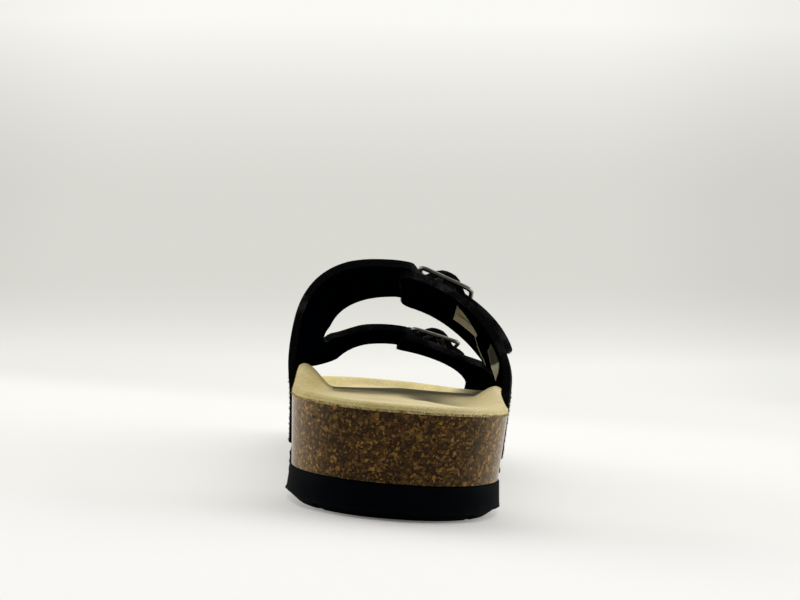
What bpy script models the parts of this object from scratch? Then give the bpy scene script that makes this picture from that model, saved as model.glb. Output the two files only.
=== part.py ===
"""Two-strap footbed sandal for the right foot, built as a maker assembles it.

A moulded outsole carries a cork footbed with a suede insole on it. The upper is two
side pieces: the medial one runs over the foot as two straps, and the lateral one ends in
two tongues below them. A buckle on each tongue holds the strap that lies over it.

Sizes are in millimetres and the meshes are made in metres. The shoe is worked out with
its heel at y = 0, its toe at +Y and its lateral side at +X, and then moved so that the
origin is in the middle of the footprint, on the floor.
"""

import math
from functools import lru_cache

import bmesh
import bpy
import numpy as np
from mathutils import Vector

MM = 0.001

# Driving dimensions of the sole
LENGTH = 264.0
HEEL_ROUND = 37.0
HEEL_POWER = 2.15
TOE_ROUND = 60.0
TOE_POWER = 2.3
SPRING_START = 190.0
SPRING_RISE = 6.5
STATIONS = 36

# A row for each cross-section of the sole, measured from the heel
SOLE_COLUMNS = (
    "along", "centre", "half", "medial_rim", "lateral_rim", "bed", "arch", "outsole", "ledge",
)
SOLE_ROWS = (
    (0, 0.0, 36.0, 36.0, 36.0, 35.0, 0.0, 11.0, 0.5),
    (36, 0.0, 36.8, 37.4, 35.9, 34.5, 0.6, 11.0, 0.5),
    (70, 0.5, 38.4, 40.3, 37.6, 33.9, 0.4, 10.2, 0.8),
    (100, 1.3, 40.3, 42.4, 39.3, 33.2, -1.2, 9.3, 1.6),
    (130, 3.2, 43.4, 41.4, 38.0, 33.0, -0.8, 8.8, 2.4),
    (165, 3.3, 44.4, 36.8, 34.8, 31.6, -1.2, 8.4, 2.7),
    (195, 1.2, 43.6, 33.2, 32.8, 28.8, -0.4, 8.2, 3.3),
    (225, -5.0, 41.0, 31.4, 31.8, 26.6, 0.0, 8.2, 2.0),
    (264, -9.5, 38.5, 31.6, 31.6, 28.4, 0.0, 8.0, 0.8),
)

# Footbed surface
INSOLE_THICK = 1.4
RIM_WIDTH = 2.2
RIM_ROUND = 0.9
WALL_WIDTH = 8.0
WALL_SPREAD = 0.85
RING_INSETS = (0.0, 1.2, 2.6, 4.9, 7.8, 11.0, 15.0, 22.0)
TOE_BAR = dict(along=204.0, spread=7.0, height=1.3)
TOE_HOLLOW = dict(along=228.0, spread=10.0, height=-1.4)
BALL_PAD = dict(along=148.0, spread=20.0, across=3.0, reach=14.0, height=1.0)
HEEL_HOLLOW = dict(along=92.0, spread=30.0, across=15.0, reach=7.0, height=-3.4)
HOLLOW_LEAN = -0.21

# Sole sides
CORK_TAPER = 1.7
OUTSOLE_FLARE = 0.6
BEVEL_RISE = 3.2
BEVEL_INSET = 4.0
GROOVE_WIDTH = 2.4
GROOVE_DEPTH = 1.7
GROOVE_PITCH = 11.0
GROOVE_FIRST = 14.0
GROOVE_LAST = 226.0

# Pieces that touch keep these gaps
GAP = 0.35
SIDE_GAP = 0.55

# Upper
STRAP_THICK = 3.0
SPRING_LINE = 4.0
LAP = STRAP_THICK + GAP

# A row for each cross-section of the last under the straps
LAST_COLUMNS = (
    "along", "crest_x", "crest_z", "medial_bulge", "lateral_bulge",
    "medial_power", "medial_lean", "lateral_power",
)
LAST_ROWS = (
    (92, -5.0, 84.7, 1.4, 0.0, 2.7, 0.00, 1.85),
    (106, -4.5, 81.0, 1.4, 0.0, 2.7, 0.00, 1.85),
    (147, -2.0, 70.2, 0.5, 0.1, 2.3, 0.11, 1.65),
    (178, 0.5, 55.1, 0.8, 0.4, 2.0, 0.26, 1.42),
    (216, 0.0, 48.2, 0.4, 0.4, 2.0, 0.36, 1.62),
    (232, 0.0, 46.6, 0.4, 0.4, 2.0, 0.36, 1.62),
)

# Outline of the medial piece: a row for each height up its side, 0 at the sole and 1 at the crest
MEDIAL_COLUMNS = ("rise", "rear_back", "rear_front", "front_back", "front_front")
MEDIAL_ROWS = (
    (0.00, 118.0, 160.0, 160.0, 202.0),
    (0.25, 115.0, 160.0, 160.0, 204.5),
    (0.575, 110.4, 161.0, 161.0, 209.8),
    (0.69, 108.4, 153.2, 171.6, 212.2),
    (0.84, 107.0, 149.5, 175.5, 214.5),
    (1.00, 106.0, 147.0, 178.0, 216.0),
)
MEDIAL_FORK = 0.575

# Outline of the lateral piece, in the same way
LATERAL_ROWS = (
    (0.00, 115.0, 166.0, 166.0, 221.0),
    (0.25, 113.0, 166.0, 166.0, 220.0),
    (0.40, 111.0, 166.0, 166.0, 217.0),
    (0.60, 109.0, 156.5, 178.0, 212.0),
    (0.80, 107.5, 150.0, 178.5, 209.5),
    (1.00, 106.5, 147.5, 178.0, 208.5),
)
LATERAL_FORK = 0.40
FORK_ROUND = 0.07

# Strap ends and buckles, one of each for the rear and the front strap. Distances run from
# the crest down the lateral side.
BUCKLE_COLUMNS = ("name", "middle", "tongue_end", "front_bar", "tip")
BUCKLE_ROWS = (
    ("rear", 131.5, 3.0, 9.5, 55.0),
    ("front", 197.0, 2.0, 7.0, 33.0),
)
TONGUE_CORNER = 4.5
STRAP_END_HALF = 13.0
TAPER_BEFORE = 3.0
TAPER_RUN = 4.5
FREE_LIFT = LAP + 0.1

# Buckle frame: two end bars over the strap and a lower middle bar that it climbs over
BAR_SPACING = 21.0
BAR_RADIUS = 1.0
BAR_CLEAR = 0.8
MIDDLE_RADIUS = 0.8
MIDDLE_CLEAR = 2.0
FRAME_SIDE_GAP = 1.9
FRAME_CORNER = 3.2
FRAME_HALF = STRAP_END_HALF + FRAME_SIDE_GAP + BAR_RADIUS
MIDDLE_HALF = STRAP_END_HALF + 0.6

# Window in the rear tongue, below its buckle, narrowing towards the sole
WINDOW_COLUMNS = ("distance", "near", "far")
WINDOW_ROWS = (
    (41.0, 139.0, 143.5),
    (28.0, 117.0, 141.0),
)

# Buckle tab, prong and the strap's holes
TAB_HALF = 4.2
TAB_THICK = 0.8
TAB_REACH = 5.2
TAB_RETURN = 3.6
PRONG_RADIUS = 0.65
PRONG_SLOT_HALF = 1.9
HOLE_RADIUS = 2.1
HOLE_PITCH = 8.5
HOLE_TO_TIP = 8.0
HOLE_SIDES = 12
TUBE_SIDES = 10

# Height of the strap's underside over the middle bar and the tab looped round it
MIDDLE_LIFT = STRAP_THICK + MIDDLE_CLEAR + MIDDLE_RADIUS
HUMP_LIFT = MIDDLE_LIFT + MIDDLE_RADIUS + 2 * GAP + TAB_THICK + 0.2

COLOURS = {
    "eva_black": ((0.012, 0.012, 0.014), 0.75, 0.0),
    "cork": ((0.11, 0.055, 0.022), 0.35, 0.0),
    "suede_cream": ((0.56, 0.47, 0.25), 0.95, 0.0),
    "strap_black": ((0.008, 0.008, 0.010), 0.85, 0.0),
    "buckle_metal": ((0.55, 0.52, 0.46), 0.32, 1.0),
}


def column(columns, rows, name):
    """One named column of a table, as numbers."""
    return np.array([row[columns.index(name)] for row in rows], float)


def curve_through(places, values, at):
    """Smooth cubic through a table's values, held level past both of its ends."""
    slopes = np.gradient(values, places)
    at = np.clip(np.asarray(at, float), places[0], places[-1])
    i = np.clip(np.searchsorted(places, at) - 1, 0, len(places) - 2)
    span = places[i + 1] - places[i]
    t = (at - places[i]) / span
    rise = values[i + 1] - values[i]
    bend = (1 - t) * (slopes[i] * span - rise) - t * (slopes[i + 1] * span - rise)
    return values[i] + t * rise + t * (1 - t) * bend


def sole(name, along):
    """A column of the sole's table at a distance from the heel."""
    places = column(SOLE_COLUMNS, SOLE_ROWS, "along")
    return curve_through(places, column(SOLE_COLUMNS, SOLE_ROWS, name), along)


def last(name, along):
    """A column of the last's table at a distance from the heel."""
    places = column(LAST_COLUMNS, LAST_ROWS, "along")
    return curve_through(places, column(LAST_COLUMNS, LAST_ROWS, name), along)


def ease(t):
    """Rises smoothly from 0 to 1 as t does."""
    t = np.clip(t, 0.0, 1.0)
    return t * t * (3 - 2 * t)


def bump(at, along, spread, height):
    """A round swelling along one direction."""
    return height * np.exp(-(((at - along) / spread) ** 2))


def half_width(along):
    """Half the footbed's width, drawn in to a round heel and toe."""
    heel = np.clip(1 - along / HEEL_ROUND, 0, 1)
    toe = np.clip((along - LENGTH + TOE_ROUND) / TOE_ROUND, 0, 1)
    heel_round = (1 - heel**HEEL_POWER) ** (1 / HEEL_POWER)
    toe_round = (1 - toe**TOE_POWER) ** (1 / TOE_POWER)
    return sole("half", along) * heel_round * toe_round


def toe_spring(along):
    """How far the underside has lifted off the floor."""
    t = np.clip((along - SPRING_START) / (LENGTH - SPRING_START), 0, 1)
    return SPRING_RISE * t**2


def outsole_top(along):
    return toe_spring(along) + sole("outsole", along)


def side_edge(along, side, inset=0.0):
    """X of the footbed's edge: side is -1 for medial and 1 for lateral."""
    return sole("centre", along) + side * (half_width(along) - inset)


class Outline:
    """The footbed's edge seen from above: up its medial side, round the toe and back."""

    def __init__(self):
        angle = np.linspace(0, math.pi, STATIONS + 1)
        up = LENGTH * (1 - np.cos(angle)) / 2
        self.along = np.concatenate([up, up[-2:0:-1]])
        self.side = np.concatenate([-np.ones(STATIONS + 1), np.ones(STATIONS - 1)])
        x = side_edge(self.along, self.side)
        self.edge = np.stack([x, self.along], axis=1)
        spine_y = np.clip(self.along, HEEL_ROUND, LENGTH - TOE_ROUND * 0.75)
        self.spine = np.stack([sole("centre", spine_y), spine_y], axis=1)
        inward = self.spine - self.edge
        self.inward = inward / np.linalg.norm(inward, axis=1)[:, None]
        medial = sole("medial_rim", self.along)
        lateral = sole("lateral_rim", self.along)
        self.rim = np.where(self.side < 0, medial, lateral)

    def inset(self, distance):
        """The edge moved in by a distance; a negative one moves it out."""
        return self.edge + self.inward * np.reshape(distance, (-1, 1))


OUTLINE = Outline()


def bed_height(points, inset):
    """Top of the insole at points that lie a distance in from the edge."""
    x, y = points[:, 0], points[:, 1]
    across = (x - sole("centre", y)) / sole("half", y)
    floor = sole("bed", y) - sole("arch", y) * across
    middle = np.clip(1 - across**2, 0, 1)
    floor = floor + bump(y, **TOE_BAR) * middle + bump(y, **TOE_HOLLOW)
    pad = bump(y, BALL_PAD["along"], BALL_PAD["spread"], BALL_PAD["height"])
    floor = floor + pad * bump(x, BALL_PAD["across"], BALL_PAD["reach"], 1.0)
    hollow_x = HEEL_HOLLOW["across"] + HOLLOW_LEAN * (y - HEEL_HOLLOW["along"])
    hollow = bump(y, HEEL_HOLLOW["along"], HEEL_HOLLOW["spread"], HEEL_HOLLOW["height"])
    floor = floor + hollow * bump(x, hollow_x, HEEL_HOLLOW["reach"], 1.0)
    wall = WALL_WIDTH + WALL_SPREAD * np.maximum(OUTLINE.rim - floor, 0)
    share = 1 - ease((inset - RIM_WIDTH) / (wall - RIM_WIDTH))
    rounding = RIM_ROUND * np.clip(1 - inset / RIM_WIDTH, 0, 1) ** 2
    return floor * (1 - share) + OUTLINE.rim * share - rounding


def bed_rings(drop=0.0):
    """Rings of points over the footbed's surface, from its edge in to its spine."""
    rings = []
    reach = np.linalg.norm(OUTLINE.spine - OUTLINE.edge, axis=1)
    for distance in RING_INSETS:
        flat = OUTLINE.inset(distance)
        rings.append(np.column_stack([flat, bed_height(flat, distance) - drop]))
    spine_height = bed_height(OUTLINE.spine, reach) - drop
    rings.append(np.column_stack([OUTLINE.spine, spine_height]))
    return rings


def level_ring(inset, height):
    """A ring parallel to the outline at a height, or at a height for each point."""
    flat = OUTLINE.inset(inset)
    return np.column_stack([flat, np.broadcast_to(height, len(flat))])


def spine_ring(height_of):
    return np.column_stack([OUTLINE.spine, height_of(OUTLINE.spine[:, 1])])


def material(name):
    """A plain surface in one of the sandal's colours."""
    made = bpy.data.materials.get(name)
    if made is None:
        colour, roughness, metallic = COLOURS[name]
        made = bpy.data.materials.new(name)
        made.use_nodes = True
        surface = made.node_tree.nodes["Principled BSDF"]
        surface.inputs["Base Color"].default_value = (*colour, 1.0)
        surface.inputs["Roughness"].default_value = roughness
        surface.inputs["Metallic"].default_value = metallic
    return made


def add_object(name, bm, finish):
    """Turns a bmesh in millimetres into a named object in metres."""
    bmesh.ops.scale(bm, vec=Vector((MM, MM, MM)), verts=bm.verts)
    mesh = bpy.data.meshes.new(name)
    bm.to_mesh(mesh)
    bm.free()
    if finish:
        mesh.materials.append(material(finish))
    mesh.shade_smooth()
    mesh.set_sharp_from_angle(angle=math.radians(35))
    made = bpy.data.objects.new(name, mesh)
    PARTS.objects.link(made)
    made.parent = ROOT
    return made


def add_cutter(name, bm):
    """A hidden shape that a Boolean takes away."""
    made = add_object(name, bm, None)
    PARTS.objects.unlink(made)
    CUTTERS.objects.link(made)
    made.hide_render = True
    made.display_type = "WIRE"
    return made


def cut(target, cutter):
    boolean = target.modifiers.new("cut_" + cutter.name, "BOOLEAN")
    boolean.operation = "DIFFERENCE"
    boolean.object = cutter


def solid_from_rings(name, rings, finish):
    """A closed solid skinned over rings that start and end on the spine."""
    bm = bmesh.new()
    rows = [[bm.verts.new(point) for point in ring] for ring in rings]
    count = len(rows[0])
    reach = [np.linalg.norm(ring[:, :2] - OUTLINE.spine, axis=1).sum() for ring in rings]
    for j, (low, high) in enumerate(zip(rows, rows[1:])):
        for k in range(count):
            n = (k + 1) % count
            if reach[j] > reach[j + 1]:
                bm.faces.new((low[k], low[n], high[k]))
                bm.faces.new((low[n], high[n], high[k]))
            else:
                bm.faces.new((low[k], low[n], high[n]))
                bm.faces.new((low[k], high[n], high[k]))
    bmesh.ops.remove_doubles(bm, verts=bm.verts, dist=0.02)
    bmesh.ops.dissolve_degenerate(bm, edges=bm.edges, dist=0.01)
    bmesh.ops.recalc_face_normals(bm, faces=bm.faces)
    return add_object(name, bm, finish)


def make_insole():
    """The suede cover that lines the footbed out to its edge."""
    under = bed_rings(drop=INSOLE_THICK)
    return solid_from_rings("insole", under[::-1] + bed_rings(), "suede_cream")


def make_midsole():
    """The cork footbed, from the outsole up to the insole."""
    top = bed_rings(drop=INSOLE_THICK + GAP)
    bottom_edge = level_ring(CORK_TAPER, outsole_top(OUTLINE.along) + GAP)
    bottom_spine = spine_ring(lambda y: outsole_top(y) + GAP)
    half_up = level_ring(CORK_TAPER / 2, (bottom_edge[:, 2] + top[0][:, 2]) / 2)
    return solid_from_rings("midsole", [bottom_spine, bottom_edge, half_up] + top, "cork")


def make_outsole():
    """The black outsole with its flared side, ledge for the upper, bevelled foot and grooves."""
    ledge = sole("ledge", OUTLINE.along)
    top_inset = CORK_TAPER - ledge
    foot_inset = top_inset - OUTSOLE_FLARE
    spring = toe_spring(OUTLINE.along)
    rings = [
        spine_ring(toe_spring),
        level_ring(foot_inset + BEVEL_INSET, spring),
        level_ring(foot_inset, spring + BEVEL_RISE),
        level_ring(top_inset, outsole_top(OUTLINE.along)),
        spine_ring(outsole_top),
    ]
    made = solid_from_rings("outsole", rings, "eva_black")
    cut(made, tread_cutter())
    return made


def tread_cutter():
    """Bars across the underside, one for each groove of the tread."""
    bm = bmesh.new()
    reach = 2 * sole("half", SPRING_START) + 30
    for along in np.arange(GROOVE_FIRST, GROOVE_LAST, GROOVE_PITCH):
        made = bmesh.ops.create_cube(bm, size=1.0)["verts"]
        bmesh.ops.scale(bm, vec=Vector((reach, GROOVE_WIDTH, 2 * GROOVE_DEPTH)), verts=made)
        slope = 2 * SPRING_RISE * max(along - SPRING_START, 0) / (LENGTH - SPRING_START) ** 2
        tilt = math.atan(slope)
        for vert in made:
            lift = vert.co.y * math.tan(tilt) + float(toe_spring(along))
            vert.co += Vector((0, along, lift))
    return add_cutter("tread", bm)


@lru_cache(maxsize=None)
def half_section(along, side):
    """The last's outline from the sole up to the crest on one side, and its length so far."""
    rim_z = float(sole("medial_rim" if side < 0 else "lateral_rim", along)) - INSOLE_THICK
    base_z = float(outsole_top(along)) + GAP
    rim_x = float(side_edge(along, side))
    base_x = float(side_edge(along, side, CORK_TAPER))
    spring_z = rim_z + SPRING_LINE
    z = np.linspace(base_z, spring_z, 10)
    up = np.clip((z - base_z) / (rim_z - base_z), 0, 1)
    bulge = float(last("medial_bulge" if side < 0 else "lateral_bulge", along))
    swell = bulge * ease((z - (base_z + rim_z) / 2) / (spring_z - (base_z + rim_z) / 2))
    x = base_x + (rim_x - base_x) * up + side * (SIDE_GAP + swell)
    power = float(last("medial_power" if side < 0 else "lateral_power", along))
    lean = float(last("medial_lean", along)) if side < 0 else 0.0
    turn = np.linspace(0, math.pi / 2, 60)[1:]
    crest_x, crest_z = float(last("crest_x", along)), float(last("crest_z", along))
    climb = np.sin(turn) ** (2 / power)
    reach = np.abs(np.cos(turn)) ** (2 / power) * (1 - lean * ease(climb / 0.5))
    arch_x = crest_x + (x[-1] - crest_x) * reach
    arch_z = spring_z + (crest_z - spring_z) * climb
    points = np.column_stack([np.append(x, arch_x), np.append(z, arch_z)])
    run = np.concatenate([[0], np.cumsum(np.linalg.norm(np.diff(points, axis=0), axis=1))])
    return points, run


def on_last(rise, along):
    """A point of the last: rise is 0 at the medial sole, 1 at the crest and 2 at the lateral sole."""
    along = round(float(along), 4)
    side = -1 if rise <= 1 else 1
    points, run = half_section(along, side)
    at = (rise if side < 0 else 2 - rise) * run[-1]
    return np.array([np.interp(at, run, points[:, 0]), along, np.interp(at, run, points[:, 1])])


def above_last(rise, along, lift):
    """The point a height above the last, square to it."""
    step = 0.01
    over = on_last(min(rise + step, 2.0), along) - on_last(max(rise - step, 0.0), along)
    ahead = on_last(rise, along + 1.0) - on_last(rise, along - 1.0)
    out = np.cross(over, ahead)
    return on_last(rise, along) + lift * out / np.linalg.norm(out)


def rise_at(distance, along):
    """The rise of a point a distance past the crest, down the lateral side."""
    run = half_section(round(float(along), 4), 1 if distance > 0 else -1)[1]
    return 1 + distance / run[-1]


def outline_of(rows, rise):
    """The four edges of a side piece at a rise, with the fork between its straps rounded."""
    places = column(MEDIAL_COLUMNS, rows, "rise")
    return [
        float(curve_through(places, column(MEDIAL_COLUMNS, rows, name), rise))
        for name in MEDIAL_COLUMNS[1:]
    ]


def forked_edges(rows, fork, rise):
    """As outline_of, with the gap between the straps opening from nothing at the fork."""
    rear_back, rear_front, front_back, front_front = outline_of(rows, rise)
    middle = (rear_front + front_back) / 2
    t = np.clip((rise - fork) / FORK_ROUND, 0, 1)
    widest = outline_of(rows, fork + FORK_ROUND)
    full = max(front_back - rear_front, (widest[2] - widest[1]) * 0.9) / 2
    half_gap = full * math.sqrt(1 - (1 - t) ** 2)
    return rear_back, middle - half_gap, middle + half_gap, front_front


def strip(bm, rows):
    """Quads between rows of points, each row as long as the last."""
    verts = [[bm.verts.new(point) for point in row] for row in rows]
    for low, high in zip(verts, verts[1:]):
        for k in range(len(low) - 1):
            bm.faces.new((low[k], low[k + 1], high[k + 1], high[k]))


def across(start, end, count):
    return np.linspace(start, end, count + 1)


def medial_lift(rise):
    """The medial piece lies on the last at its sole and a tongue's thickness above it at the crest."""
    return LAP * float(ease((rise - 0.45) / 0.4))


def drawn_in(distance, spec):
    """How far a strap has been drawn in to its buckle, from 0 at the crest to 1."""
    return float(ease((distance - spec["front_bar"] + TAPER_BEFORE) / TAPER_RUN))


def strap_end_half(distance, full_half, spec):
    """Half the strap's width past the crest: drawn in to the buckle, with a round tip."""
    half = full_half + (STRAP_END_HALF - full_half) * drawn_in(distance, spec)
    left = np.clip((spec["tip"] - distance) / STRAP_END_HALF, 0.02, 1)
    return half * math.sqrt(1 - (1 - left) ** 2)


def strap_end_lift(distance, front_bar):
    """Height of the strap above the last: under an end bar, over the middle one and under again."""
    middle = front_bar + BAR_SPACING / 2
    climb = 1 - float(ease((abs(distance - middle) - 1.0) / (BAR_SPACING / 2 - 3.0)))
    rest = LAP + (FREE_LIFT - LAP) * float(ease((distance - middle) / 10.0))
    return rest + (HUMP_LIFT - rest) * climb


def buckle(name):
    """The row of the buckle table for the rear or the front strap."""
    row = next(row for row in BUCKLE_ROWS if row[0] == name)
    return dict(zip(BUCKLE_COLUMNS, row))


def strap_rows(name, back, front, columns):
    """Rows of points along one strap from the crest to its tip."""
    spec = buckle(name)
    rows = []
    straight = np.arange(2.5, spec["tip"] - 9, 2.9)
    round_end = spec["tip"] - np.array([7.5, 5, 3, 1.4, 0.4])
    for distance in np.append(straight, round_end):
        half = strap_end_half(distance, (front - back) / 2, spec)
        shift = drawn_in(distance, spec)
        middle = (back + front) / 2 * (1 - shift) + spec["middle"] * shift
        lift = strap_end_lift(distance, spec["front_bar"])
        places = across(middle - half, middle + half, columns)
        rows.append([above_last(rise_at(distance, y), y, lift) for y in places])
    return rows


def make_upper_medial():
    """The medial side piece with its two straps, as one wall of even thickness."""
    bm = bmesh.new()
    columns = 5
    root_rises = np.linspace(0, MEDIAL_FORK, 9)
    fork_rises = MEDIAL_FORK + FORK_ROUND * np.array([0.04, 0.15, 0.32, 0.6, 1.0])
    strap_rises = np.linspace(MEDIAL_FORK + FORK_ROUND, 1.0, 17)[1:]
    rear, front = [], []
    for rise in np.concatenate([root_rises, fork_rises, strap_rises]):
        edges = forked_edges(MEDIAL_ROWS, MEDIAL_FORK, rise)
        lift = medial_lift(rise)
        rear.append([above_last(rise, y, lift) for y in across(edges[0], edges[1], columns)])
        front.append([above_last(rise, y, lift) for y in across(edges[2], edges[3], columns)])
    rear += strap_rows("rear", edges[0], edges[1], columns)
    front += strap_rows("front", edges[2], edges[3], columns)
    strip(bm, rear)
    strip(bm, front)
    made = finish_wall("upper_medial", bm)
    cut(made, strap_hole_cutter())
    return made


def finish_wall(name, bm):
    """Welds a sheet and thickens it outwards into a wall."""
    loose = [vert for vert in bm.verts if not vert.link_faces]
    bmesh.ops.delete(bm, geom=loose, context="VERTS")
    bmesh.ops.remove_doubles(bm, verts=bm.verts, dist=0.05)
    bmesh.ops.recalc_face_normals(bm, faces=bm.faces)
    upward = sum(face.normal.z * face.calc_area() for face in bm.faces)
    if upward < 0:
        bmesh.ops.reverse_faces(bm, faces=bm.faces)
    made = add_object(name, bm, "strap_black")
    thick = made.modifiers.new("thickness", "SOLIDIFY")
    thick.thickness = STRAP_THICK * MM
    thick.offset = 1.0
    return made


def make_upper_lateral():
    """The lateral side piece with its two tongues; the rear one has a window below its buckle."""
    bm = bmesh.new()
    base_rises = np.linspace(0, LATERAL_FORK, 7)
    fork_rises = LATERAL_FORK + FORK_ROUND * np.array([0.04, 0.15, 0.32, 0.6, 1.0])
    tongue_rises = np.linspace(LATERAL_FORK + FORK_ROUND, 0.95, 13)[1:]
    window = lateral_rises("rear", column(WINDOW_COLUMNS, WINDOW_ROWS, "distance"))
    rises = np.concatenate([base_rises, fork_rises, tongue_rises, window])
    for name, back, front in (("rear", 0, 1), ("front", 2, 3)):
        end = buckle(name)["tongue_end"]
        corner = lateral_rises(name, end + TONGUE_CORNER * np.array([1.0, 0.6, 0.3, 0.1, 0.0]))
        rows = []
        for rise in np.append(np.sort(rises[rises < corner[0] - 0.01]), corner):
            edges = forked_edges(LATERAL_ROWS, LATERAL_FORK, rise)
            left = np.clip((corner[-1] - rise) / (corner[-1] - corner[0]), 0.02, 1)
            inset = TONGUE_CORNER * (1 - math.sqrt(1 - (1 - left) ** 2))
            rows.append((rise, edges[back] + inset, edges[front] - inset))
        tongue_sheet(bm, rows, window, open_window=name == "rear")
    return finish_wall("upper_lateral", bm)


def lateral_rises(name, distances):
    """The rises, from the lateral sole, of distances past the crest at the middle of a strap."""
    return np.array([2 - rise_at(distance, buckle(name)["middle"]) for distance in distances])


def tongue_sheet(bm, rows, window, open_window):
    """One tongue as a grid, leaving out the faces of its window."""
    verts, in_window = [], []
    for rise, back, front in rows:
        places = across(back, front, 6)
        if open_window:
            near, far = (
                np.interp(rise, window, column(WINDOW_COLUMNS, WINDOW_ROWS, edge))
                for edge in ("near", "far")
            )
            beside = across(back, near, 2), across(near, far, 2)[1:], across(far, front, 2)[1:]
            places = np.concatenate(beside)
        verts.append([bm.verts.new(above_last(2 - rise, y, 0.0)) for y in places])
        in_window.append(open_window and window[0] - 1e-6 <= rise <= window[1] + 1e-6)
    for j in range(len(verts) - 1):
        for k in range(6):
            if k in (2, 3) and in_window[j] and in_window[j + 1]:
                continue
            bm.faces.new((verts[j][k], verts[j][k + 1], verts[j + 1][k + 1], verts[j + 1][k]))


@lru_cache(maxsize=None)
def ahead_of(name):
    """The direction across the strap at its buckle, the mean of those at its two bars."""
    spec = buckle(name)
    total = Vector()
    for distance in (spec["front_bar"], spec["front_bar"] + BAR_SPACING):
        near, far = spec["middle"] - STRAP_END_HALF, spec["middle"] + STRAP_END_HALF
        total += Vector(on_last(rise_at(distance, far), far) - on_last(rise_at(distance, near), near))
    return total.normalized()


def buckle_place(name, distance, lift, offset=0.0):
    """A point at a distance past the crest, a lift above the last and an offset towards the toe."""
    along = buckle(name)["middle"]
    return Vector(above_last(rise_at(distance, along), along, lift)) + ahead_of(name) * offset


def bar_places(name):
    """Centres of the front and rear end bars, above the strap, and of the middle bar below it."""
    front = buckle(name)["front_bar"]
    over = LAP + STRAP_THICK + BAR_CLEAR + BAR_RADIUS
    ends = [buckle_place(name, distance, over) for distance in (front, front + BAR_SPACING)]
    return (*ends, buckle_place(name, front + BAR_SPACING / 2, MIDDLE_LIFT))


def buckle_axes(name):
    """Directions of a buckle: towards the crest, across the strap and outwards."""
    front, rear, _ = bar_places(name)
    back = (front - rear).normalized()
    ahead = ahead_of(name)
    return back, ahead, ahead.cross(back).normalized()


def sweep(bm, points, radius, cyclic=False):
    """Adds rings of vertices round a line of points, joined by faces, and returns them."""
    points = [Vector(point) for point in points]
    count = len(points)
    rings = []
    upright = None
    for i, point in enumerate(points):
        before = points[i - 1] if cyclic or i > 0 else point
        after = points[(i + 1) % count] if cyclic or i < count - 1 else point
        ahead = (after - before).normalized()
        if upright is None:
            upright = ahead.orthogonal().normalized()
        upright = (upright - ahead * upright.dot(ahead)).normalized()
        beside = ahead.cross(upright)
        turns = np.arange(TUBE_SIDES) * 2 * math.pi / TUBE_SIDES
        ring = [point + radius * (upright * math.cos(t) + beside * math.sin(t)) for t in turns]
        rings.append([bm.verts.new(spot) for spot in ring])
    pairs = list(zip(rings, rings[1:]))
    if cyclic:
        pairs.append((rings[-1], rings[0]))
    for low, high in pairs:
        for k in range(TUBE_SIDES):
            n = (k + 1) % TUBE_SIDES
            bm.faces.new((low[k], low[n], high[n], high[k]))
    return rings


def tube(name, points, radius, finish):
    """A round bar along a line of points, as a closed mesh."""
    bm = bmesh.new()
    rings = sweep(bm, points, radius)
    bm.faces.new(rings[0])
    bm.faces.new(rings[-1])
    bmesh.ops.recalc_face_normals(bm, faces=bm.faces)
    return add_object(name, bm, finish)


def frame_line(name):
    """The middle line of a buckle's frame, and its points half-way along the two side bars."""
    front, rear, _ = bar_places(name)
    back, ahead, _ = buckle_axes(name)
    side = (front + rear) / 2
    points, joints = [], []
    corners = ((rear, 1, -1), (front, 1, 1), (front, -1, 1), (rear, -1, -1))
    for centre, along, over in corners:
        pivot = centre + ahead * along * (FRAME_HALF - FRAME_CORNER) - back * over * FRAME_CORNER
        turns = np.linspace(0, math.pi / 2, 5)
        if along * over > 0:
            turns = turns[::-1]
        bend = [ahead * along * math.cos(t) + back * over * math.sin(t) for t in turns[::-1]]
        points += [pivot + FRAME_CORNER * out for out in bend]
        if (along, over) in ((1, -1), (-1, 1)):
            step = back * MIDDLE_RADIUS * (1 if along > 0 else -1)
            joint = side + ahead * along * FRAME_HALF
            joints.append(len(points) + 1)
            points += [joint - step, joint, joint + step]
    return points, joints


def open_side(bm, rings, joint, towards):
    """Takes a patch of faces off a side bar where the middle bar joins it; returns the hole's edges."""
    before, middle, after = rings[joint - 1], rings[joint], rings[joint + 1]
    centre = sum((vert.co for vert in middle), Vector()) / TUBE_SIDES
    facing = (towards - centre).normalized()
    aim = [((middle[k].co + middle[(k + 1) % TUBE_SIDES].co) / 2 - centre).dot(facing)
           for k in range(TUBE_SIDES)]
    first = int(np.argmax(aim)) - 1
    ids = [(first + step) % TUBE_SIDES for step in range(4)]
    inner = [middle[k] for k in ids[1:3]]
    bmesh.ops.delete(bm, geom=inner, context="VERTS")
    loop = [before[k] for k in ids] + [middle[ids[3]]]
    loop += [after[k] for k in reversed(ids)] + [middle[ids[0]]]
    return [bm.edges.get((a, b)) for a, b in zip(loop, loop[1:] + loop[:1])]


def make_frame(name):
    """The buckle's frame: a rounded rectangle of bar with a middle bar dropped below it."""
    bm = bmesh.new()
    middle = bar_places(name)[2]
    ahead = ahead_of(name)
    line, joints = frame_line(name)
    rings = sweep(bm, line, BAR_RADIUS, cyclic=True)
    knees = [middle + ahead * side * MIDDLE_HALF for side in (1, -1)]
    starts = [line[joint] + (knee - line[joint]).normalized() * (BAR_RADIUS + GAP)
              for joint, knee in zip(joints, knees)]
    bar = sweep(bm, [starts[0], knees[0], knees[1], starts[1]], MIDDLE_RADIUS)
    for joint, knee, end in zip(joints, knees, (bar[0], bar[-1])):
        hole = open_side(bm, rings, joint, knee)
        rim = [bm.edges.get((a, b)) for a, b in zip(end, end[1:] + end[:1])]
        bmesh.ops.bridge_loops(bm, edges=hole + rim)
    bmesh.ops.recalc_face_normals(bm, faces=bm.faces)
    return add_object("buckle_" + name, bm, "buckle_metal")


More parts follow.
